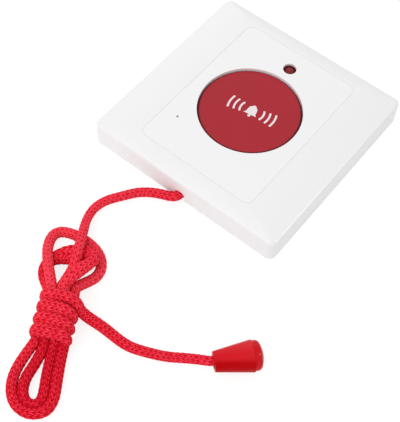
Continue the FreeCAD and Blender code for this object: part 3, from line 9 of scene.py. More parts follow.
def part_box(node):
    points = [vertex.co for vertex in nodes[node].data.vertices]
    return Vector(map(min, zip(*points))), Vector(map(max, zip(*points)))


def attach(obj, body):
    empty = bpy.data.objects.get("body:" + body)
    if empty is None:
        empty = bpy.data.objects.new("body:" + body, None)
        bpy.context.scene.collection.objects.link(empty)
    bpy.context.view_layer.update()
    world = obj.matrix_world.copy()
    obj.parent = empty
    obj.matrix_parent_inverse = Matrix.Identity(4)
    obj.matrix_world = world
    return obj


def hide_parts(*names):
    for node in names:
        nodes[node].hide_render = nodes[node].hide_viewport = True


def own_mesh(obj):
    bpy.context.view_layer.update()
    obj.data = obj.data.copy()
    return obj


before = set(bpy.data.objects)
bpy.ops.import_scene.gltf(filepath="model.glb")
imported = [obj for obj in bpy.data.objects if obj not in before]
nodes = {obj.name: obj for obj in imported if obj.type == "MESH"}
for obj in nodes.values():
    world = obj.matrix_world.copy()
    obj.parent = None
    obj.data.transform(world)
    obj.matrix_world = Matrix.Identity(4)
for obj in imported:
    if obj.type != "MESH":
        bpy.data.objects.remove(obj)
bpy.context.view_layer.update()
mm = 0.001
print("frame loaded:", len(nodes), "nodes")


# camera, standing where the photograph was taken from
camera = {
    "place": (0.11844, -0.19477, 0.30416),
    "right": (0.7821, 0.6224, 0.0315),
    "down": (0.5434, -0.6563, -0.5234),
    "forward": (-0.3050, 0.4264, -0.8515),
    "lens": 80.88,
    "sensor": 36,
    "clip": (0.01, 20),
}


def addThing(name, data):
    thing = bpy.data.objects.new(name, data)
    bpy.context.scene.collection.objects.link(thing)
    return thing


# a finished shape as an object with its material
def addShape(name, shape, finish):
    mesh = bpy.data.meshes.new(name)
    shape.to_mesh(mesh)
    shape.free()
    mesh.materials.append(finish)
    return addThing(name, mesh)


def placeCamera(setup):
    data = bpy.data.cameras.new("camera")
    data.sensor_width = setup["sensor"]
    data.lens = setup["lens"]
    data.clip_start, data.clip_end = setup["clip"]
    thing = addThing("camera", data)
    across, up, back = Vector(setup["right"]), -Vector(setup["down"]), -Vector(setup["forward"])
    turn = Matrix((across, up, back)).transposed().to_4x4()
    thing.matrix_world = Matrix.Translation(setup["place"]) @ turn
    bpy.context.scene.camera = thing


placeCamera(camera)
print("camera placed")


# node tree helpers: a socket given as a number is set, one given as an output is linked
def startFinish(name, colour, roughness, **more):
    finish = bpy.data.materials.new(name)
    finish.use_nodes = True
    tree = finish.node_tree
    shader = tree.nodes["Principled BSDF"]
    shader.inputs["Base Color"].default_value = (*colour, 1)
    shader.inputs["Roughness"].default_value = roughness
    for socket, value in more.items():
        shader.inputs[socket].default_value = value
    return finish, tree, shader


def addNode(tree, kind, sockets, **settings):
    node = tree.nodes.new("ShaderNode" + kind)
    for key, value in settings.items():
        setattr(node, key, value)
    for key, value in sockets.items():
        if isinstance(value, bpy.types.NodeSocket):
            tree.links.new(value, node.inputs[key])
        else:
            node.inputs[key].default_value = value
    return node


def calc(tree, operation, *values):
    sockets = {place: value for place, value in enumerate(values)}
    return addNode(tree, "Math", sockets, operation=operation).outputs[0]


def mixColours(tree, share, first, second):
    node = tree.nodes.new("ShaderNodeMix")
    node.data_type = "RGBA"
    sockets = [node.inputs[place] for place in (0, 6, 7)]
    for socket, value in zip(sockets, (share, first, second)):
        if isinstance(value, bpy.types.NodeSocket):
            tree.links.new(value, socket)
        elif isinstance(value, tuple):
            socket.default_value = (*value, 1)
        else:
            socket.default_value = value
    return node.outputs[2]


def objectPlace(tree):
    return tree.nodes.new("ShaderNodeTexCoord").outputs["Object"]


def grain(tree, place, scale, detail=2.0, roughness=0.5):
    sockets = {"Vector": place, "Scale": scale, "Detail": detail, "Roughness": roughness}
    return addNode(tree, "TexNoise", sockets).outputs["Fac"]


# from start at low to end at high, and level beyond both
def ramp(tree, value, low, high, start=0.0, end=1.0, **settings):
    sockets = {"Value": value, "From Min": low, "From Max": high, "To Min": start, "To Max": end}
    return addNode(tree, "MapRange", sockets, **settings).outputs[0]


# noise spread over a range, as if it reached from its usual lowest to its usual highest value
noiseReach = (0.3, 0.7)


def spread(tree, value, start, end):
    return ramp(tree, value, *noiseReach, start, end)


def vectorCalc(tree, operation, first, second, output=0):
    return addNode(tree, "VectorMath", {0: first, 1: second}, operation=operation).outputs[output]


def paint(tree, shader, colour):
    tree.links.new(colour, shader.inputs["Base Color"])


# the colour that a finish has so far, and the socket that holds it
def heldColour(finish):
    base = finish.node_tree.nodes["Principled BSDF"].inputs["Base Color"]
    return base.links[0].from_socket, base


def addBump(tree, shader, height, depth):
    bump = addNode(tree, "Bump", {"Height": height, "Distance": depth, "Strength": 1.0})
    tree.links.new(bump.outputs[0], shader.inputs["Normal"])


# moulded plastics: a fine spark texture, faint flow marks and slightly uneven gloss
moulded = {"fineDetail": 3.0, "fineRoughness": 0.6, "flowScale": 45.0, "gloss": (0.86, 1.14)}


def mouldedPlastic(name, colour, roughness, texture, depth, mottle, **more):
    finish, tree, shader = startFinish(name, colour, roughness, **more)
    place = objectPlace(tree)
    fine = grain(tree, place, texture, moulded["fineDetail"], moulded["fineRoughness"])
    flow = grain(tree, place, moulded["flowScale"])
    dull = tuple(part * (1 - mottle) for part in colour)
    full = tuple(min(1.0, part * (1 + mottle)) for part in colour)
    paint(tree, shader, mixColours(tree, flow, dull, full))
    smooth, rough = [roughness * share for share in moulded["gloss"]]
    tree.links.new(spread(tree, fine, smooth, rough), shader.inputs["Roughness"])
    addBump(tree, shader, fine, depth)
    return finish


def lessGloss(level):
    return {"Specular IOR Level": level}


plateWhite = mouldedPlastic(
    "plateWhite", (0.865, 0.862, 0.868),
    roughness=0.38, texture=2600.0, depth=0.000012, mottle=0.012,
)
panelWhite = mouldedPlastic(
    "panelWhite", (0.880, 0.877, 0.882),
    roughness=0.32, texture=3200.0, depth=0.000008, mottle=0.010,
)
buttonRed = mouldedPlastic(
    "buttonRed", (0.390, 0.016, 0.028),
    roughness=0.45, texture=2400.0, depth=0.000012, mottle=0.04, **lessGloss(0.2),
)
handleRed = mouldedPlastic(
    "handleRed", (0.640, 0.010, 0.018),
    roughness=0.20, texture=900.0, depth=0.000008, mottle=0.04, **lessGloss(0.05),
)
plugRed = mouldedPlastic(
    "plugRed", (0.600, 0.006, 0.012),
    roughness=0.22, texture=900.0, depth=0.000006, mottle=0.04, **lessGloss(0.10),
)
switchBlack = mouldedPlastic(
    "switchBlack", (0.020, 0.020, 0.022),
    roughness=0.45, texture=3000.0, depth=0.000012, mottle=0.15,
)
sliderWhite = mouldedPlastic(
    "sliderWhite", (0.780, 0.775, 0.750),
    roughness=0.34, texture=2200.0, depth=0.000010, mottle=0.03,
)
signWhite = mouldedPlastic(
    "signWhite", (0.830, 0.750, 0.765),
    roughness=0.50, texture=5000.0, depth=0.000006, mottle=0.02,
)


# how far outside a circle round an upright axis, 0 within its edge and 1 beyond
def beyondCircle(tree, middle, low, high):
    shift = (-middle[0], -middle[1], 0)
    place = addNode(tree, "Mapping", {"Vector": objectPlace(tree), "Location": shift})
    parts = addNode(tree, "SeparateXYZ", {"Vector": place.outputs[0]})
    flat = addNode(tree, "CombineXYZ", {0: parts.outputs[0], 1: parts.outputs[1]})
    away = addNode(tree, "VectorMath", {0: flat.outputs[0]}, operation="LENGTH").outputs["Value"]
    return ramp(tree, away, low, high)


# a second colour inside or outside a circle, over what the finish already has
def tintRound(finish, middle, low, high, inside=None, outside=None):
    tree = finish.node_tree
    held, base = heldColour(finish)
    share = beyondCircle(tree, middle, low, high)
    tree.links.new(mixColours(tree, share, inside or held, outside or held), base)


# the light's hole, in metres: its wall is painted pink near the face, a painted reflection of the
# lens's red, and painted deep red further in, painted shade with the lens's red in it
ledHole = {
    "middle": (0.0, 0.0266),
    "edge": (0.00271, 0.00273),
    "depth": (0.01085, 0.01125),
    "deep": (0.240, 0.020, 0.028),
    "pale": (0.900, 0.800, 0.820),
}


# the hole's wall painted from deep red low down to pink near the face: painted shade and painted
# reflection
def paintedHoleWall(finish, hole):
    tree = finish.node_tree
    height = addNode(tree, "SeparateXYZ", {"Vector": objectPlace(tree)}).outputs[2]
    return mixColours(tree, ramp(tree, height, *hole["depth"]), hole["deep"], hole["pale"])


paintedLedWall = paintedHoleWall(panelWhite, ledHole)
tintRound(panelWhite, ledHole["middle"], *ledHole["edge"], inside=paintedLedWall)

# the button's hole has its wall painted pale pink, painted light with a painted reflection of the
# button's red, and the button's rim a deep red line of painted shade
buttonHole = {"middle": (0.0, 0.0), "edge": (0.02072, 0.02076), "paintedPinkReflection": (0.960, 0.850, 0.872)}
tintRound(panelWhite, buttonHole["middle"], *buttonHole["edge"], inside=buttonHole["paintedPinkReflection"])
# the button's rim: a deep red line of painted shade, its middle set a little aside so it runs wider
# on one side
buttonRimPaintedShade = {
    "middle": (-0.00014, 0.00023),
    "edge": (0.01962, 0.01985),
    "line": (0.120, 0.004, 0.010),
}
tintRound(buttonRed, buttonRimPaintedShade["middle"], *buttonRimPaintedShade["edge"], outside=buttonRimPaintedShade["line"])


# painted light on the handle: its red is painted paler with a painted sheen toward its upper back,
# and painted deeper as painted shade down its front
handlePaintedLight = {
    "way": (0.543, -0.656, -0.523),
    "stops": [(-0.0010, -0.0070, (0.700, 0.028, 0.041)), (-0.0012, 0.0012, (0.470, 0.000, 0.002))],
}


# paints colours in steps along one way through a part: painted light and shade
def paintShadeAlong(finish, middle, way, stops):
    tree = finish.node_tree
    held, base = heldColour(finish)
    place = vectorCalc(tree, "SUBTRACT", objectPlace(tree), middle)
    reach = vectorCalc(tree, "DOT_PRODUCT", place, way, output="Value")
    for low, high, colour in stops:
        share = ramp(tree, reach, low, high, interpolation_type="SMOOTHSTEP")
        held = mixColours(tree, share, held, colour)
    tree.links.new(held, base)


# metals: fine drawn lines along one axis and a little unevenness
drawn = {"lineScale": 900.0, "dull": 0.72, "gloss": (0.75, 1.3), "depth": 0.000006}


def drawnMetal(name, colour, roughness, lines):
    finish, tree, shader = startFinish(name, colour, roughness, Metallic=1.0)
    stretched = addNode(tree, "Mapping", {"Vector": objectPlace(tree), "Scale": lines})
    streaks = grain(tree, stretched.outputs[0], drawn["lineScale"])
    dull = tuple(part * drawn["dull"] for part in colour)
    paint(tree, shader, mixColours(tree, streaks, dull, colour))
    smooth, rough = [roughness * share for share in drawn["gloss"]]
    tree.links.new(spread(tree, streaks, smooth, rough), shader.inputs["Roughness"])
    addBump(tree, shader, streaks, drawn["depth"])
    return finish


springSteel = drawnMetal("springSteel", (0.62, 0.62, 0.63), 0.28, (1.0, 1.0, 0.15))
screwSteel = drawnMetal("screwSteel", (0.56, 0.56, 0.57), 0.34, (1.0, 0.2, 1.0))
leadTin = drawnMetal("leadTin", (0.74, 0.74, 0.73), 0.40, (1.0, 1.0, 0.3))
ferruleBrass = drawnMetal("ferruleBrass", (0.70, 0.49, 0.20), 0.30, (1.0, 0.2, 1.0))
magnetGrey = drawnMetal("magnetGrey", (0.20, 0.20, 0.21), 0.45, (1.0, 1.0, 1.0))


# circuit board: woven glass under green mask, with paler tracks
board = {
    "cellScale": 420.0,
    "trackEdge": (0.62, 0.68),
    "weaveScale": 1800.0,
    "mask": ((0.008, 0.125, 0.040), (0.014, 0.190, 0.062)),
    "track": (0.030, 0.300, 0.105),
    "trackHeight": 0.00003,
}


def circuitGreen():
    finish, tree, shader = startFinish("circuitGreen", (0.01, 0.16, 0.05), roughness=0.3)
    place = objectPlace(tree)
    sockets = {"Vector": place, "Scale": board["cellScale"]}
    cells = addNode(tree, "TexVoronoi", sockets, distance="MANHATTAN", feature="F2")
    tracks = ramp(tree, cells.outputs["Distance"], *board["trackEdge"])
    mask = mixColours(tree, grain(tree, place, board["weaveScale"]), *board["mask"])
    paint(tree, shader, mixColours(tree, tracks, mask, board["track"]))
    addBump(tree, shader, tracks, board["trackHeight"])
    return finish


# the reed switch's tube, with faint ripples
def glassClear():
    finish, tree, shader = startFinish(
        "glassClear", (0.86, 0.94, 0.90), roughness=0.04, IOR=1.5, **{"Transmission Weight": 0.9}
    )
    addBump(tree, shader, grain(tree, objectPlace(tree), scale=700.0), depth=0.00001)
    return finish


# the indicator: a tinted lens with fine speckle, painted lighter toward its middle as a painted
# glow
lensSpeckleAndPaintedGlow = {
    "reach": (0.0002, 0.0021),
    "speckleScale": 1500.0,
    "unevenness": (0.8, 1.1),
    "paintedLightTones": ((0.170, 0.010, 0.015), (0.250, 0.016, 0.024)),
    "depth": 0.00001,
}


def lensRed():
    more = {**lessGloss(0.2), "Subsurface Weight": 0.1}
    finish, tree, shader = startFinish("lensRed", (0.2, 0.016, 0.022), roughness=0.25, **more)
    low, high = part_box("indicator_led")
    shift = (-(low.x + high.x) / 2, -(low.y + high.y) / 2, 0)
    place = addNode(tree, "Mapping", {"Vector": objectPlace(tree), "Location": shift}).outputs[0]
    shape = addNode(tree, "SeparateXYZ", {"Vector": place})
    x, y = shape.outputs[0], shape.outputs[1]
    square = calc(tree, "ADD", calc(tree, "MULTIPLY", x, x), calc(tree, "MULTIPLY", y, y))
    # painted light: the lens is painted lighter the nearer its middle
    near = ramp(tree, calc(tree, "SQRT", square), *lensSpeckleAndPaintedGlow["reach"], start=1.0, end=0.0)
    speckle = grain(tree, place, lensSpeckleAndPaintedGlow["speckleScale"])
    glow = calc(tree, "MULTIPLY", near, spread(tree, speckle, *lensSpeckleAndPaintedGlow["unevenness"]))
    paint(tree, shader, mixColours(tree, glow, *lensSpeckleAndPaintedGlow["paintedLightTones"]))
    addBump(tree, shader, speckle, lensSpeckleAndPaintedGlow["depth"])
    return finish


# knitted cord, in millimetres: columns of stitches round it, each stitch a V of two plump legs
cord = {
    "diameter": 3.7,
    "columns": 8,
    "stitchPitch": 1.85,
    "slant": 1.15,
    "leg": (0.27, 0.28),
    "eye": (0.27, 0.22),
    "valley": 0.3,
    "eyeDepth": 0.3,
    "helix": 0.375,
    "plump": 0.12,
    "sunk": 0.11,
    "ringsPerStitch": 6,
    "vertsPerColumn": 6,
    "curveSteps": 10,
    "thinning": 0.4,
    "offFloor": 0.02,
    "seam": 1e-7,
    "hankPlace": (1.0, -111.0),
    "hankTurn": 28.5,
}

# painted shade: where a surface comes near to another strand its red is painted deeper, more so
# between loose strands
paintedCreaseShade = {
    "lineStep": 4,
    "stitchesApart": 4,
    "reach": 1.0,
    "ease": 1.5,
    "loosePaintedShade": 0.50,
    "bandPaintedShade": 0.12,
}

# the free run from the unit to the wraps, in millimetres in the unit's frame
leadRoute = [
    (0.0, -39.5, 2.4), (0.0, -43.8, 2.4), (-2.6, -45.8, 2.3), (-6.4, -47.2, 2.1),
    (-10.1, -49.3, 1.95), (-13.5, -52.3, 1.9), (-16.6, -57.0, 1.9), (-19.8, -61.8, 1.9),
    (-21.2, -67.0, 1.9), (-20.4, -71.4, 2.1), (-18.9, -74.6, 3.0), (-17.3, -77.1, 4.1),
    (-15.6, -79.6, 5.2), (-14.0, -82.0, 6.2), (-12.5, -84.4, 7.0), (-11.2, -86.6, 7.3),
    (-10.0, -88.6, 7.2), (-9.0, -90.5, 6.8), (-8.4, -92.3, 6.1), (-8.0, -94.1, 5.3),
    (-7.8, -95.9, 4.6), (-7.6, -97.8, 4.0), (-7.3, -99.9, 3.7),
]
bottomOuter = [
    (0.05, -121.0, 4.0), (0.15, -124.4, 2.8), (0.55, -128.4, 2.1), (1.6, -132.6, 1.9),
    (3.3, -136.0, 1.9), (5.7, -138.8, 1.9), (8.6, -140.6, 1.9), (11.6, -141.2, 1.9),
    (14.8, -140.8, 1.9), (17.5, -138.9, 1.9), (19.1, -136.3, 1.9), (18.9, -133.4, 1.9),
    (17.6, -130.6, 1.9), (15.5, -127.6, 1.9), (13.1, -124.1, 1.9), (10.9, -120.8, 2.0),
    (9.2, -117.8, 2.6), (7.8, -115.2, 3.6),
]
topOuter = [
    (-3.1, -97.4, 4.2), (-2.7, -94.8, 3.2), (-1.9, -92.2, 2.5), (-1.1, -89.2, 2.0),
    (-1.5, -86.2, 1.9), (-3.1, -83.6, 1.9), (-5.8, -81.6, 1.9), (-8.9, -80.5, 1.9),
    (-12.2, -80.1, 1.9), (-15.4, -80.2, 1.9), (-18.5, -80.7, 1.9), (-21.3, -81.6, 1.95),
    (-23.7, -83.1, 2.0), (-24.7, -85.3, 2.2), (-24.1, -88.1, 2.7), (-22.0, -91.5, 3.8),
    (-18.8, -94.8, 5.0), (-15.4, -97.8, 5.7), (-12.1, -100.4, 5.9), (-8.7, -103.0, 6.0),
]
bottomInner = [
    (3.55, -120.3, 3.5), (4.3, -123.7, 2.5), (5.15, -127.6, 1.95), (5.8, -131.5, 1.9),
    (7.2, -134.7, 1.9), (9.1, -137.0, 1.9), (11.6, -138.4, 1.9), (14.1, -138.1, 1.9),
    (15.7, -136.4, 1.9), (15.4, -133.8, 1.9), (13.6, -130.9, 1.9), (11.0, -127.2, 1.9),
    (9.0, -123.9, 2.0), (7.2, -120.8, 2.5), (5.8, -118.3, 3.5),
]
topInner = [
    (-5.5, -100.6, 6.9), (-5.6, -98.7, 7.7), (-5.5, -96.9, 8.3), (-5.2, -95.0, 8.7),
    (-4.9, -93.1, 8.7), (-4.6, -91.0, 8.4), (-4.3, -88.8, 7.9), (-4.3, -86.6, 7.2),
    (-5.0, -84.6, 6.4), (-6.6, -83.9, 5.6), (-8.5, -84.4, 4.8), (-10.6, -85.6, 4.0),
    (-12.7, -87.1, 3.2), (-14.8, -88.7, 2.5), (-16.5, -90.5, 2.1), (-17.7, -92.6, 2.0),
    (-18.4, -94.7, 1.95), (-18.3, -97.0, 1.95), (-17.0, -99.3, 2.0), (-14.8, -101.2, 2.1),
]
tailRoute = [
    (9.6, -102.3, 2.2), (12.4, -102.0, 1.95), (15.5, -101.9, 1.9), (18.8, -102.0, 1.9),
    (22.0, -102.0, 1.9), (25.0, -101.7, 1.9), (27.5, -101.0, 1.9), (29.9, -100.1, 1.9),
    (34.5, -98.1, 1.9), (38.8, -95.9, 2.1), (43.6, -93.1, 3.4), (48.6, -90.8, 5.2),
    (50.9, -89.9, 5.9), (52.6, -88.3, 6.0), (54.2, -86.5, 5.7),
]

# strands inside the wraps and the wound bands, in the hank's own axes
leadCore = [(-1.8, 9.6, 3.8), (-2.2, 5.0, 4.1), (-3.0, 0.4, 4.4), (-4.4, -4.0, 4.6)]
rightCore = [(3.7, -3.0, 4.3), (3.1, 2.0, 4.8), (2.9, 7.0, 4.8), (3.2, 11.0, 4.5)]
leftCore = [(-3.7, 7.0, 5.9), (-3.3, 2.0, 6.0), (-2.7, -3.0, 5.4), (-2.2, -7.0, 4.3)]
middleCore = [(0.9, -5.0, 4.7), (0.6, 0.0, 5.7), (-0.1, 5.0, 6.2), (-0.6, 9.0, 6.5)]
windStart = [
    (-7.3, 13.3, 2.4), (-5.2, 9.8, 3.0), (-2.8, 6.0, 3.4), (-0.9, 2.0, 3.4), (-0.6, -2.0, 3.0),
    (-1.7, -5.2, 2.3), (-4.0, -6.7, 2.4), (-6.0, -6.2, 3.9),
]
wrap = {
    "bands": [(-5.4, -6.3, -6.9), (-0.9, -1.8, -2.8), (3.6, 2.9, 1.4), (7.9, 7.6, 7.6)],
    "middleX": -0.6,
    "middleZ": 5.85,
    "flat": 2.0,
    "turn": 3.95,
    "crossingSteps": 6,
    "width": 1.03,
    "pressed": 0.24,
    "pressEase": 0.7,
}
windEnd = [
    (1.7, 7.4, 9.8), (3.6, 7.1, 9.7), (5.1, 6.5, 9.0), (6.1, 5.9, 7.6), (6.6, 5.3, 5.9),
    (7.7, 4.9, 4.2), (9.5, 4.3, 2.9),
]


def hankPoint(x, y, z):
    turn = math.radians(cord["hankTurn"])
    middleX, middleY = cord["hankPlace"]
    return (
        middleX + x * math.cos(turn) - y * math.sin(turn),
        middleY + x * math.sin(turn) + y * math.cos(turn),
        z,
    )


# each band crosses flat over the core and turns in a half circle at both ends
def wrapPoint(angle, y):
    shift = wrap["flat"] * max(-1, min(1, 2 * math.cos(angle)))
    x = wrap["middleX"] - shift - wrap["turn"] * math.cos(angle)
    z = wrap["middleZ"] + wrap["turn"] * math.sin(angle)
    return hankPoint(x, y, z)


# a band leans from its left edge over its top to its right edge, then passes under to the next
def windBands():
    points = []
    bands, steps = wrap["bands"], wrap["crossingSteps"]
    for band, (left, top, right) in enumerate(bands):
        last = band == len(bands) - 1
        for step in range(steps // 2 + 1 if last else steps + 1):
            share = step / steps
            if share < 0.5:
                y = left + (top - left) * 2 * share
            else:
                y = top + (right - top) * (2 * share - 1)
            points.append(wrapPoint(math.pi * share, y))
        if not last:
            for step in range(1, steps):
                share = step / steps
                y = right + (bands[band + 1][0] - right) * share ** 2 * (3 - 2 * share)
                points.append(wrapPoint(math.pi * (1 + share), y))
    return points


# every stretch of the cord: its points, girth and tone at both ends, the tone being painted light
# and shade (paler up high, deeper low down and on inner strands), and any widths other than 1
def cordStretches():
    def inHank(points):
        return [hankPoint(*place) for place in points]

    leadLow, leadHigh = leadRoute[:11], leadRoute[11:]
    pressedFlat = [
        1.0, 1.06, 1.14, 1.18, 1.2, 1.18, 1.1, 1.0, 1.0, 1.15,
        1.35, 1.6, 1.85, 1.95, 1.8, 1.45, 1.15, 1.0, 1.0, 1.0,
    ]
    windWidths = [1.1, 1.0, 1.0, 1.0, 1.0, 1.0, 1.0]
    return [
        (leadLow, (1.03, 0.88), (-0.12, 0.06), None),
        (leadHigh, (0.92, 1.08), (0.08, 0.00), None),
        (inHank(leadCore), (1.06, 1.06), (-0.10, -0.14), None),
        (bottomOuter, (0.98, 1.14), (-0.16, -0.40), None),
        (inHank(rightCore), (1.06, 1.06), (-0.14, -0.10), None),
        (topOuter, (1.05, 1.02), (0.10, 0.18), None),
        (inHank(leftCore), (1.06, 1.06), (-0.10, -0.14), None),
        (bottomInner, (1.04, 1.06), (-0.38, -0.40), None),
        (inHank(middleCore), (1.06, 1.1), (-0.14, -0.10), None),
        (topInner, (1.12, 1.08), (0.03, -0.24), pressedFlat),
        (inHank(windStart), (1.0, 1.0), (-0.10, -0.12), None),
        (windBands(), (1.0, 1.0), (-0.16, -0.08), "bands"),
        (inHank(windEnd), (1.04, 1.1), (-0.12, -0.16), windWidths),
        (tailRoute, (1.1, 0.87), (-0.22, -0.12), None),
    ]


# the bands are widest in the middle of their crossing
def bandWidth(index):
    crossing = max(0.0, math.sin(math.pi * index / wrap["crossingSteps"]))
    return wrap["width"] + wrap["pressed"] * crossing ** wrap["pressEase"]


def cordRoute():
    route, girths, paintedLightTones, widths, banded = [], [], [], [], []
    for points, girth, toneWithPaintedLight, wide in cordStretches():
        inBand = wide == "bands"
        for index, point in enumerate(points):
            share = index / (len(points) - 1)
            route.append(Vector(point) * mm)
            girths.append(girth[0] + (girth[1] - girth[0]) * share)
            paintedLightTones.append(toneWithPaintedLight[0] + (toneWithPaintedLight[1] - toneWithPaintedLight[0]) * share)
            widths.append(bandWidth(index) if inBand else wide[index] if wide else 1.0)
            banded.append(inBand)
    return route, girths, paintedLightTones, widths, banded


def readLine(route):
    curve = bpy.data.curves.new("cordLine", "CURVE")
    curve.dimensions = "3D"
    curve.resolution_u = cord["curveSteps"]
    spline = curve.splines.new("NURBS")
    spline.points.add(len(route) - 1)
    for held, point in zip(spline.points, route):
        held.co = (*point, 1)
    spline.order_u = 3
    spline.use_endpoint_u = True
    thing = addThing("cordLine", curve)
    mesh = bpy.data.meshes.new_from_object(thing)
    line = [vert.co.copy() for vert in mesh.vertices]
    bpy.data.objects.remove(thing)
    bpy.data.meshes.remove(mesh)
    return line


# evenly spaced places along the line, each with its own position in the line's list of points
def walkLine(line, step):
    places, held, left = [(line[0], 0.0)], line[0], step
    for index, point in enumerate(line[1:]):
        whole = (point - line[index]).length
        while (point - held).length >= left:
            held = held + (point - held).normalized() * left
            places.append((held, index + (held - line[index]).length / whole))
            left = step
        left -= (point - held).length
        held = point
    return places


def between(values, position):
    beforeEnd = 1.001
    position = min(max(position, 0.0), len(values) - beforeEnd)
    low = int(position)
    return values[low] + (values[low + 1] - values[low]) * (position - low)


# around counts columns, along counts stitches: legs lean from a column's borders to its middle
def stitchHeight(around, along):
    along += cord["helix"] * math.floor(around)
    across = abs(around % 1 - 0.5)
    ridge = 0.5 + 0.5 * math.cos(2 * math.pi * (along - cord["slant"] * across))
    legMiddle, legHalf = cord["leg"]
    leg = max(0.0, 1 - ((across - legMiddle) / legHalf) ** 2)
    wide, tall = cord["eye"]
    eye = max(0.0, 1 - (across / wide) ** 2 - ((along % 1 - 0.5) / tall) ** 2)
    lift = leg * (0.5 + 0.5 * ridge) + cord["valley"] * (1 - leg) * ridge - cord["eyeDepth"] * eye
    return lift * (cord["plump"] + cord["sunk"]) - cord["sunk"]


# painted shade share: 0 in the open, 1 where the surface meets another strand
def findPaintedCreaseShade(sleeve, rows, spots):
    lineStep, apart = paintedCreaseShade["lineStep"], paintedCreaseShade["stitchesApart"] * cord["ringsPerStitch"]
    centres = np.array([tuple(spot) for spot in spots[::lineStep]])
    order = np.arange(len(centres)) * lineStep
    creaseShadeShares = np.zeros(len(sleeve.verts))
    held = [[] for spot in spots]
    for vert, row in zip(sleeve.verts, rows):
        held[row].append(vert)
    for row, ring in enumerate(held):
        others = centres[np.abs(order - row) > apart]
        around = np.array([tuple(vert.co) for vert in ring])
        gap = np.linalg.norm(around[:, None, :] - others[None, :, :], axis=2).min(axis=1)
        near = 1 - (gap / mm - cord["diameter"] / 2) / paintedCreaseShade["reach"]
        for vert, share in zip(ring, np.clip(near, 0, 1)):
            creaseShadeShares[vert.index] = share ** paintedCreaseShade["ease"]
    return creaseShadeShares


def knitSleeve(line, girths, paintedLightTones, widths, banded):
    pitch = cord["stitchPitch"] * mm
    places = walkLine(line, pitch / cord["ringsPerStitch"])
    rings, sides = len(places), cord["columns"] * cord["vertsPerColumn"]
    sleeve = bmesh.new()
    layer = sleeve.loops.layers.uv.new("UVMap")
    paintedLightLayer = sleeve.verts.layers.float.new("toneWithPaintedLight")
    bmesh.ops.create_grid(sleeve, x_segments=sides, y_segments=rings - 1, size=0.5, calc_uvs=True)
    spots = [spot for spot, position in places]
    controls = [position / cord["curveSteps"] + 0.5 for spot, position in places]
    inBands = [banded[min(round(control), len(banded) - 1)] for control in controls]
    ways = []
    for before, after in zip([spots[0]] + spots[:-1], spots[1:] + [spots[-1]]):
        ways.append((after - before).normalized())
    turn = math.radians(cord["hankTurn"])
    hankWay = Vector((-math.sin(turn), math.cos(turn), 0))
    side = ways[0].cross(Vector((0, 0, 1))).normalized()
    frames = []
    for index, way in enumerate(ways):
        if index:
            side = ways[index - 1].rotation_difference(way) @ side
            side = (side - way * side.dot(way)).normalized()
        level = hankWay if inBands[index] else way.cross(Vector((0, 0, 1)))
        level = (level - way * level.dot(way)).normalized()
        girth, wide = between(girths, controls[index]), between(widths, controls[index])
        frames.append((side.copy(), way.cross(side), level, girth, wide))
    radius = cord["diameter"] / 2
    rows = [round((vert.co.y + 0.5) * (rings - 1)) for vert in sleeve.verts]
    for vert, row in zip(sleeve.verts, rows):
        share = vert.co.x + 0.5
        first, second, level, girth, wide = frames[row]
        height = stitchHeight(share * cord["columns"], row / cord["ringsPerStitch"])
        angle = share * 2 * math.pi
        out = first * math.cos(angle) + second * math.sin(angle)
        across = level * out.dot(level)
        out = across * wide + (out - across) * (1.0 - cord["thinning"] * (wide - 1.0))
        vert.co = spots[row] + out * (radius * girth + height) * mm
        vert.co.z = max(vert.co.z, cord["offFloor"] * mm)
    sleeve.verts.index_update()
    # painted shade in the creases, added to each vertex's painted light and shade along the cord
    creaseShadeShares = findPaintedCreaseShade(sleeve, rows, spots)
    for vert, row in zip(sleeve.verts, rows):
        depth = paintedCreaseShade["bandPaintedShade" if inBands[row] else "loosePaintedShade"]
        vert[paintedLightLayer] = between(paintedLightTones, controls[row]) - depth * creaseShadeShares[vert.index]
    stitches = (rings - 1) / cord["ringsPerStitch"]
    for face in sleeve.faces:
        face.smooth = True
        for loop in face.loops:
            loop[layer].uv.x *= cord["columns"]
            loop[layer].uv.y *= stitches
    bmesh.ops.remove_doubles(sleeve, verts=sleeve.verts, dist=cord["seam"])
    rims = [edge for edge in sleeve.edges if edge.is_boundary]
    bmesh.ops.holes_fill(sleeve, edges=rims, sides=0)
    bmesh.ops.recalc_face_normals(sleeve, faces=sleeve.faces)
    return sleeve, spots


# the same stitches in colour: crests painted pale as a painted highlight, eyes painted deep red as
# painted shade, fine yarn along each leg
knit = {
    "patchScale": 0.9,
    "joltScale": 0.8,
    "joltReach": (0.45, 0.9, 0.0),
    "leg": (0.27, 0.29),
    "yarnStretch": (9.0, 2.5, 1.0),
    "yarnGrain": (1.5, 3.0, 0.6),
    "shares": {"crest": 0.66, "eye": 0.46, "yarn": 0.46, "patch": 0.50},
    # the ramp's ends: deepest red as painted shade in eyes and creases, palest red as painted
    # highlight on crests
    "darkestPaintedShade": (0.02, (0.500, 0.000, 0.009)),
    "palestPaintedHighlight": (1.00, (1.000, 0.078, 0.115)),
    "between": [(0.34, (0.730, 0.003, 0.021)), (0.62, (0.900, 0.020, 0.046))],
    "depth": 0.00022,
}


# the place on the cord, moved a little at random so that no two stitches match
def joltedPlace(tree, uv):
    sockets = {"Vector": uv, "Scale": knit["joltScale"], "Detail": 1.0}
    jolt = addNode(tree, "TexNoise", sockets).outputs["Color"]
    shift = vectorCalc(tree, "SUBTRACT", jolt, (0.5, 0.5, 0.5))
    shift = vectorCalc(tree, "MULTIPLY", shift, knit["joltReach"])
    return vectorCalc(tree, "ADD", uv, shift)


# 1 less value, and 0 where that is negative
def remainder(tree, value):
    return calc(tree, "MAXIMUM", calc(tree, "SUBTRACT", 1.0, value), 0.0)


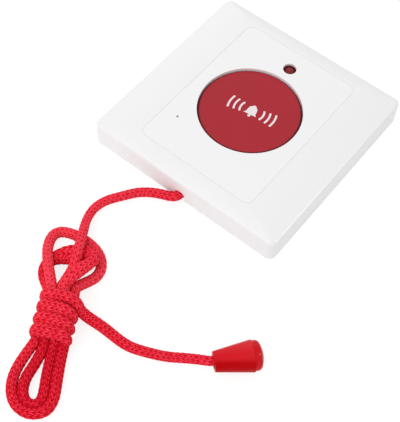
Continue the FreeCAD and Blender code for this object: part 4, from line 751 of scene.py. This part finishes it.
# the pattern of stitchHeight, as nodes: how far up a crest and how deep in an eye
def stitchPattern(tree, uv):
    parts = addNode(tree, "SeparateXYZ", {"Vector": uv})
    column = calc(tree, "FLOOR", parts.outputs[0])
    row = calc(tree, "MULTIPLY_ADD", column, cord["helix"], parts.outputs[1])
    along = calc(tree, "SUBTRACT", calc(tree, "FRACT", row), 0.5)
    offMiddle = calc(tree, "SUBTRACT", calc(tree, "FRACT", parts.outputs[0]), 0.5)
    across = calc(tree, "ABSOLUTE", offMiddle)
    lean = calc(tree, "SUBTRACT", row, calc(tree, "MULTIPLY", across, cord["slant"]))
    wave = calc(tree, "COSINE", calc(tree, "MULTIPLY", lean, 2 * math.pi))
    ridge = calc(tree, "MULTIPLY_ADD", wave, 0.5, 0.5)
    legMiddle, legHalf = knit["leg"]
    offset = calc(tree, "DIVIDE", calc(tree, "SUBTRACT", across, legMiddle), legHalf)
    leg = remainder(tree, calc(tree, "MULTIPLY", offset, offset))
    wide, tall = cord["eye"]
    side = calc(tree, "POWER", calc(tree, "DIVIDE", across, wide), 2.0)
    away = calc(tree, "MULTIPLY_ADD", calc(tree, "MULTIPLY", along, along), 1 / tall ** 2, side)
    return calc(tree, "MULTIPLY", leg, ridge), remainder(tree, away)


def knitRed():
    red = (0.8, 0.01, 0.03)
    finish, tree, shader = startFinish("knitRed", red, roughness=0.7, **lessGloss(0.08))
    onCord = tree.nodes.new("ShaderNodeTexCoord").outputs["UV"]
    patch = grain(tree, onCord, knit["patchScale"])
    uv = joltedPlace(tree, onCord)
    crest, eye = stitchPattern(tree, uv)
    stretched = addNode(tree, "Mapping", {"Vector": uv, "Scale": knit["yarnStretch"]})
    yarn = grain(tree, stretched.outputs[0], *knit["yarnGrain"])
    shares = knit["shares"]
    crest = calc(tree, "MULTIPLY", crest, shares["crest"])
    raised = calc(tree, "SUBTRACT", crest, calc(tree, "MULTIPLY", eye, shares["eye"]))
    spun = calc(tree, "MULTIPLY_ADD", yarn, shares["yarn"], raised)
    height = calc(tree, "MULTIPLY_ADD", patch, shares["patch"], spun)
    paintedLightPerVertex = addNode(tree, "Attribute", {}, attribute_name="toneWithPaintedLight").outputs["Fac"]
    toneWithPaintedLight = addNode(tree, "ValToRGB", {"Fac": calc(tree, "ADD", height, paintedLightPerVertex)})
    stops = toneWithPaintedLight.color_ramp.elements
    for stop, (position, colour) in zip(stops, (knit["darkestPaintedShade"], knit["palestPaintedHighlight"])):
        stop.position, stop.color = position, (*colour, 1)
    for position, colour in knit["between"]:
        stops.new(position).color = (*colour, 1)
    paint(tree, shader, toneWithPaintedLight.outputs[0])
    addBump(tree, shader, spun, knit["depth"])
    return finish


def makeCord():
    route, girths, paintedLightTones, widths, banded = cordRoute()
    line = readLine(route)
    sleeve, spots = knitSleeve(line, girths, paintedLightTones, widths, banded)
    thing = addShape("knitCord", sleeve, knitRed())
    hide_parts("cord_lead", "cord_hank", "cord_tail")
    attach(thing, "pull")


makeCord()


# short cord inside and the knot in the handle: the same yarn, patterned in place
def yarnRed():
    deep, pale = (0.330, 0.001, 0.008), (0.800, 0.020, 0.045)
    finish, tree, shader = startFinish(
        "yarnRed", (0.6, 0.01, 0.03), roughness=0.65, **{"Sheen Weight": 0.25}
    )
    sockets = {"Vector": objectPlace(tree), "Scale": 210.0, "Distortion": 3.0, "Detail": 1.0}
    strands = addNode(tree, "TexWave", sockets, bands_direction="DIAGONAL").outputs["Fac"]
    paint(tree, shader, mixColours(tree, strands, deep, pale))
    addBump(tree, shader, strands, depth=0.0002)
    return finish


# finishes of the carried-over nodes
def dressNodes():
    low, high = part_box("pull_handle")
    paintShadeAlong(handleRed, (low + high) / 2, **handlePaintedLight)
    worn = {
        plateWhite: ["front_frame", "back_plate"],
        panelWhite: ["face_panel"],
        buttonRed: ["call_button"],
        handleRed: ["pull_handle"],
        plugRed: ["handle_plug"],
        switchBlack: ["call_switch", "switch_plunger", "buzzer", "battery_holder", "control_chip"],
        sliderWhite: ["cord_slider"],
        springSteel: ["button_spring", "slider_spring_left", "slider_spring_right", "battery_clip"],
        screwSteel: ["board_screws"],
        leadTin: ["switch_pins", "led_leads", "coin_cell", "radio_module", "aerial", "reed_leads"],
        ferruleBrass: ["cord_ferrule"],
        magnetGrey: ["slider_magnet"],
        circuitGreen(): ["circuit_board"],
        glassClear(): ["reed_switch"],
        lensRed(): ["indicator_led"],
        yarnRed(): ["cord_inner", "handle_knot", "cord_lead", "cord_hank", "cord_tail"],
    }
    for finish, names in worn.items():
        for name in names:
            thing = nodes[name]
            if not thing.material_slots:
                thing.data.materials.append(finish)
            for held in thing.material_slots:
                held.material = finish
    left = sorted(set(nodes) - {name for names in worn.values() for name in names})
    print("nodes dressed, none left over" if not left else "not dressed: %s" % left)


dressNodes()


# coil springs inside, each with the joint that works it, its axis and its joint's travel; each is
# only given a mesh of its own and is not shortened
workingSprings = [
    ("button_spring", "button_press", (0, 0, 1), 0.0012),
    ("slider_spring_left", "cord_pull", (0, 1, 0), 0.003),
    ("slider_spring_right", "cord_pull", (0, 1, 0), 0.003),
]


def shortenSprings():
    for name, joint, axis, travel in workingSprings:
        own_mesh(nodes[name])


shortenSprings()


# the sign on the button: a bell with three sound arcs on each side, printed in white
sign = {
    "middle": (0.6, 0.6),
    "turn": 8.0,
    "face": 11.17,
    "film": 0.03,
    "bellHalf": [
        (0.0, 2.9), (0.55, 2.75), (0.75, 2.3), (1.55, 1.7),
        (1.9, 0.6), (2.05, -1.1), (2.8, -1.9), (0.0, -1.9),
    ],
    "clapper": (0.0, -2.5, 0.62),
    "clapperSides": 20,
    "arcs": [(4.9, 29.0), (7.3, 22.0), (9.7, 18.5)],
    "arcSteps": 14,
    "stroke": 0.8,
    "weld": 1e-4,
}


# a flat shape made solid by an upright step, with its faces turned outward
def thicken(shape, step):
    grown = bmesh.ops.extrude_face_region(shape, geom=shape.faces[:])
    moved = [item for item in grown["geom"] if isinstance(item, bmesh.types.BMVert)]
    bmesh.ops.translate(shape, verts=moved, vec=(0, 0, step))
    bmesh.ops.recalc_face_normals(shape, faces=shape.faces)


def makeSign():
    shape = bmesh.new()
    half = [shape.verts.new((x, y, 0)) for x, y in sign["bellHalf"]]
    shape.faces.new(half[::-1])
    drawnHalf = shape.faces[:] + shape.edges[:] + shape.verts[:]
    bmesh.ops.mirror(shape, geom=drawnHalf, axis="X", merge_dist=sign["weld"])
    x, y, radius = sign["clapper"]
    place = Matrix.Translation((x, y, 0))
    sides = sign["clapperSides"]
    bmesh.ops.create_circle(shape, cap_ends=True, segments=sides, radius=radius, matrix=place)
    for reach, sweep in sign["arcs"]:
        for base in (0, math.pi):
            inner, outer = reach - sign["stroke"] / 2, reach + sign["stroke"] / 2
            start = Matrix.Rotation(base - math.radians(sweep), 3, "Z")
            ends = [shape.verts.new(start @ Vector((radius, 0, 0))) for radius in (inner, outer)]
            stroke = shape.edges.new(ends)
            bmesh.ops.spin(
                shape, geom=[stroke] + ends, cent=(0, 0, 0), axis=(0, 0, 1),
                angle=math.radians(2 * sweep), steps=sign["arcSteps"], use_merge=False,
            )
    bmesh.ops.recalc_face_normals(shape, faces=shape.faces)
    for face in shape.faces:
        if face.normal.z < 0:
            face.normal_flip()
    thicken(shape, sign["film"])
    turn = Matrix.Rotation(math.radians(sign["turn"]), 4, "Z")
    place = Matrix.Translation((*sign["middle"], sign["face"]))
    bmesh.ops.transform(shape, matrix=Matrix.Scale(mm, 4) @ place @ turn, verts=shape.verts)
    thing = addShape("bellSign", shape, signWhite)
    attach(thing, "button")
    print("sign printed on the button")


makeSign()


# the pale floor of the groove round the face panel, in millimetres
groove = {
    "panel": (52.0, 70.5),
    "gap": 0.2,
    "corner": 3.0,
    "cornerSteps": 10,
    "top": 11.93,
    "depth": 0.3,
    "bite": 0.03,
}


def roundedOutline(shape, width, length, corner):
    made = bmesh.ops.create_grid(shape, x_segments=1, y_segments=1, size=0.5)
    bmesh.ops.scale(shape, verts=made["verts"], vec=(width, length, 1))
    bmesh.ops.bevel(
        shape, geom=made["verts"], offset=corner, offset_type="OFFSET", affect="VERTICES",
        segments=groove["cornerSteps"], profile=0.5, material=-1,
    )
    return shape.faces[:]


def makeGroove():
    shape = bmesh.new()
    width, length = groove["panel"]
    grow = 2 * (groove["gap"] + groove["bite"])
    face = roundedOutline(shape, width + grow, length + grow, groove["corner"] + grow / 2)
    inner = bmesh.ops.inset_region(
        shape, faces=face, thickness=groove["gap"] + 2 * groove["bite"],
        use_even_offset=True, use_boundary=True,
    )
    middle = [held for held in shape.faces if held not in inner["faces"]]
    bmesh.ops.delete(shape, geom=middle, context="FACES")
    thicken(shape, -groove["depth"])
    place = Matrix.Scale(mm, 4) @ Matrix.Translation((0, 0, groove["top"]))
    bmesh.ops.transform(shape, matrix=place, verts=shape.verts)
    thing = addShape("grooveFloor", shape, panelWhite)
    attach(thing, "housing")
    print("groove round the panel:", len(thing.data.polygons), "faces")


makeGroove()


# floor and light: lamps in metres and watts, and a card that shows in gloss alone
studio = {
    "floorHalf": 3.0,
    "floorShade": 0.93,
    "seenShade": 0.25,
    "floorGlow": 0.81,
    "fill": 0.745,
    "aim": (0.02, -0.06, 0.0),
    "lamps": [
        ("key", (-0.12, -0.72, 0.88), 0.75, 4.0),
        ("backGlow", (-0.62, 0.66, 0.56), 0.50, 1.0),
    ],
    "cards": [
        ("sideCard", (0.685, 0.340, 0.54), 0.16, 3.4),
    ],
}


def seenRays(tree):
    rays = tree.nodes.new("ShaderNodeLightPath").outputs
    mirrored = calc(tree, "MAXIMUM", rays["Is Glossy Ray"], rays["Is Transmission Ray"])
    return calc(tree, "MAXIMUM", rays["Is Camera Ray"], mirrored)


def grey(shade):
    return (shade, shade, shade)


# the floor lights its surroundings as a pale one and is seen a little brighter, so it stays plain
def floorFinish():
    finish = bpy.data.materials.new("floorWhite")
    finish.use_nodes = True
    tree = finish.node_tree
    tree.nodes.clear()
    seen = seenRays(tree)
    shade = mixColours(tree, seen, grey(studio["floorShade"]), grey(studio["seenShade"]))
    matt = addNode(tree, "BsdfDiffuse", {"Color": shade})
    brightness = calc(tree, "MULTIPLY", seen, studio["floorGlow"])
    glow = addNode(tree, "Emission", {"Strength": brightness})
    both = addNode(tree, "AddShader", {0: matt.outputs[0], 1: glow.outputs[0]})
    addNode(tree, "OutputMaterial", {"Surface": both.outputs[0]})
    return finish


def makeFloor():
    shape = bmesh.new()
    bmesh.ops.create_grid(shape, x_segments=1, y_segments=1, size=studio["floorHalf"])
    floor = addShape("floor", shape, floorFinish())


def makeLight():
    world = bpy.data.worlds.new("studio")
    bpy.context.scene.world = world
    world.use_nodes = True
    tree = world.node_tree
    tree.nodes.clear()
    seen = seenRays(tree)
    strength = calc(tree, "MULTIPLY_ADD", seen, 1.0 - studio["fill"], studio["fill"])
    sky = addNode(tree, "Background", {"Color": (1, 1, 1, 1), "Strength": strength})
    addNode(tree, "OutputWorld", {"Surface": sky.outputs[0]})
    for kind in ("lamps", "cards"):
        for name, place, size, power in studio[kind]:
            data = bpy.data.lights.new(name, "AREA")
            data.shape = "SQUARE"
            data.size = size
            data.energy = power
            lamp = addThing(name, data)
            lamp.location = place
            way = Vector(studio["aim"]) - lamp.location
            lamp.rotation_euler = way.to_track_quat("-Z", "Y").to_euler()
            lamp.visible_diffuse = kind == "lamps"


makeFloor()
makeLight()
bpy.context.scene.view_settings.view_transform = "Standard"
print("floor and light ready")
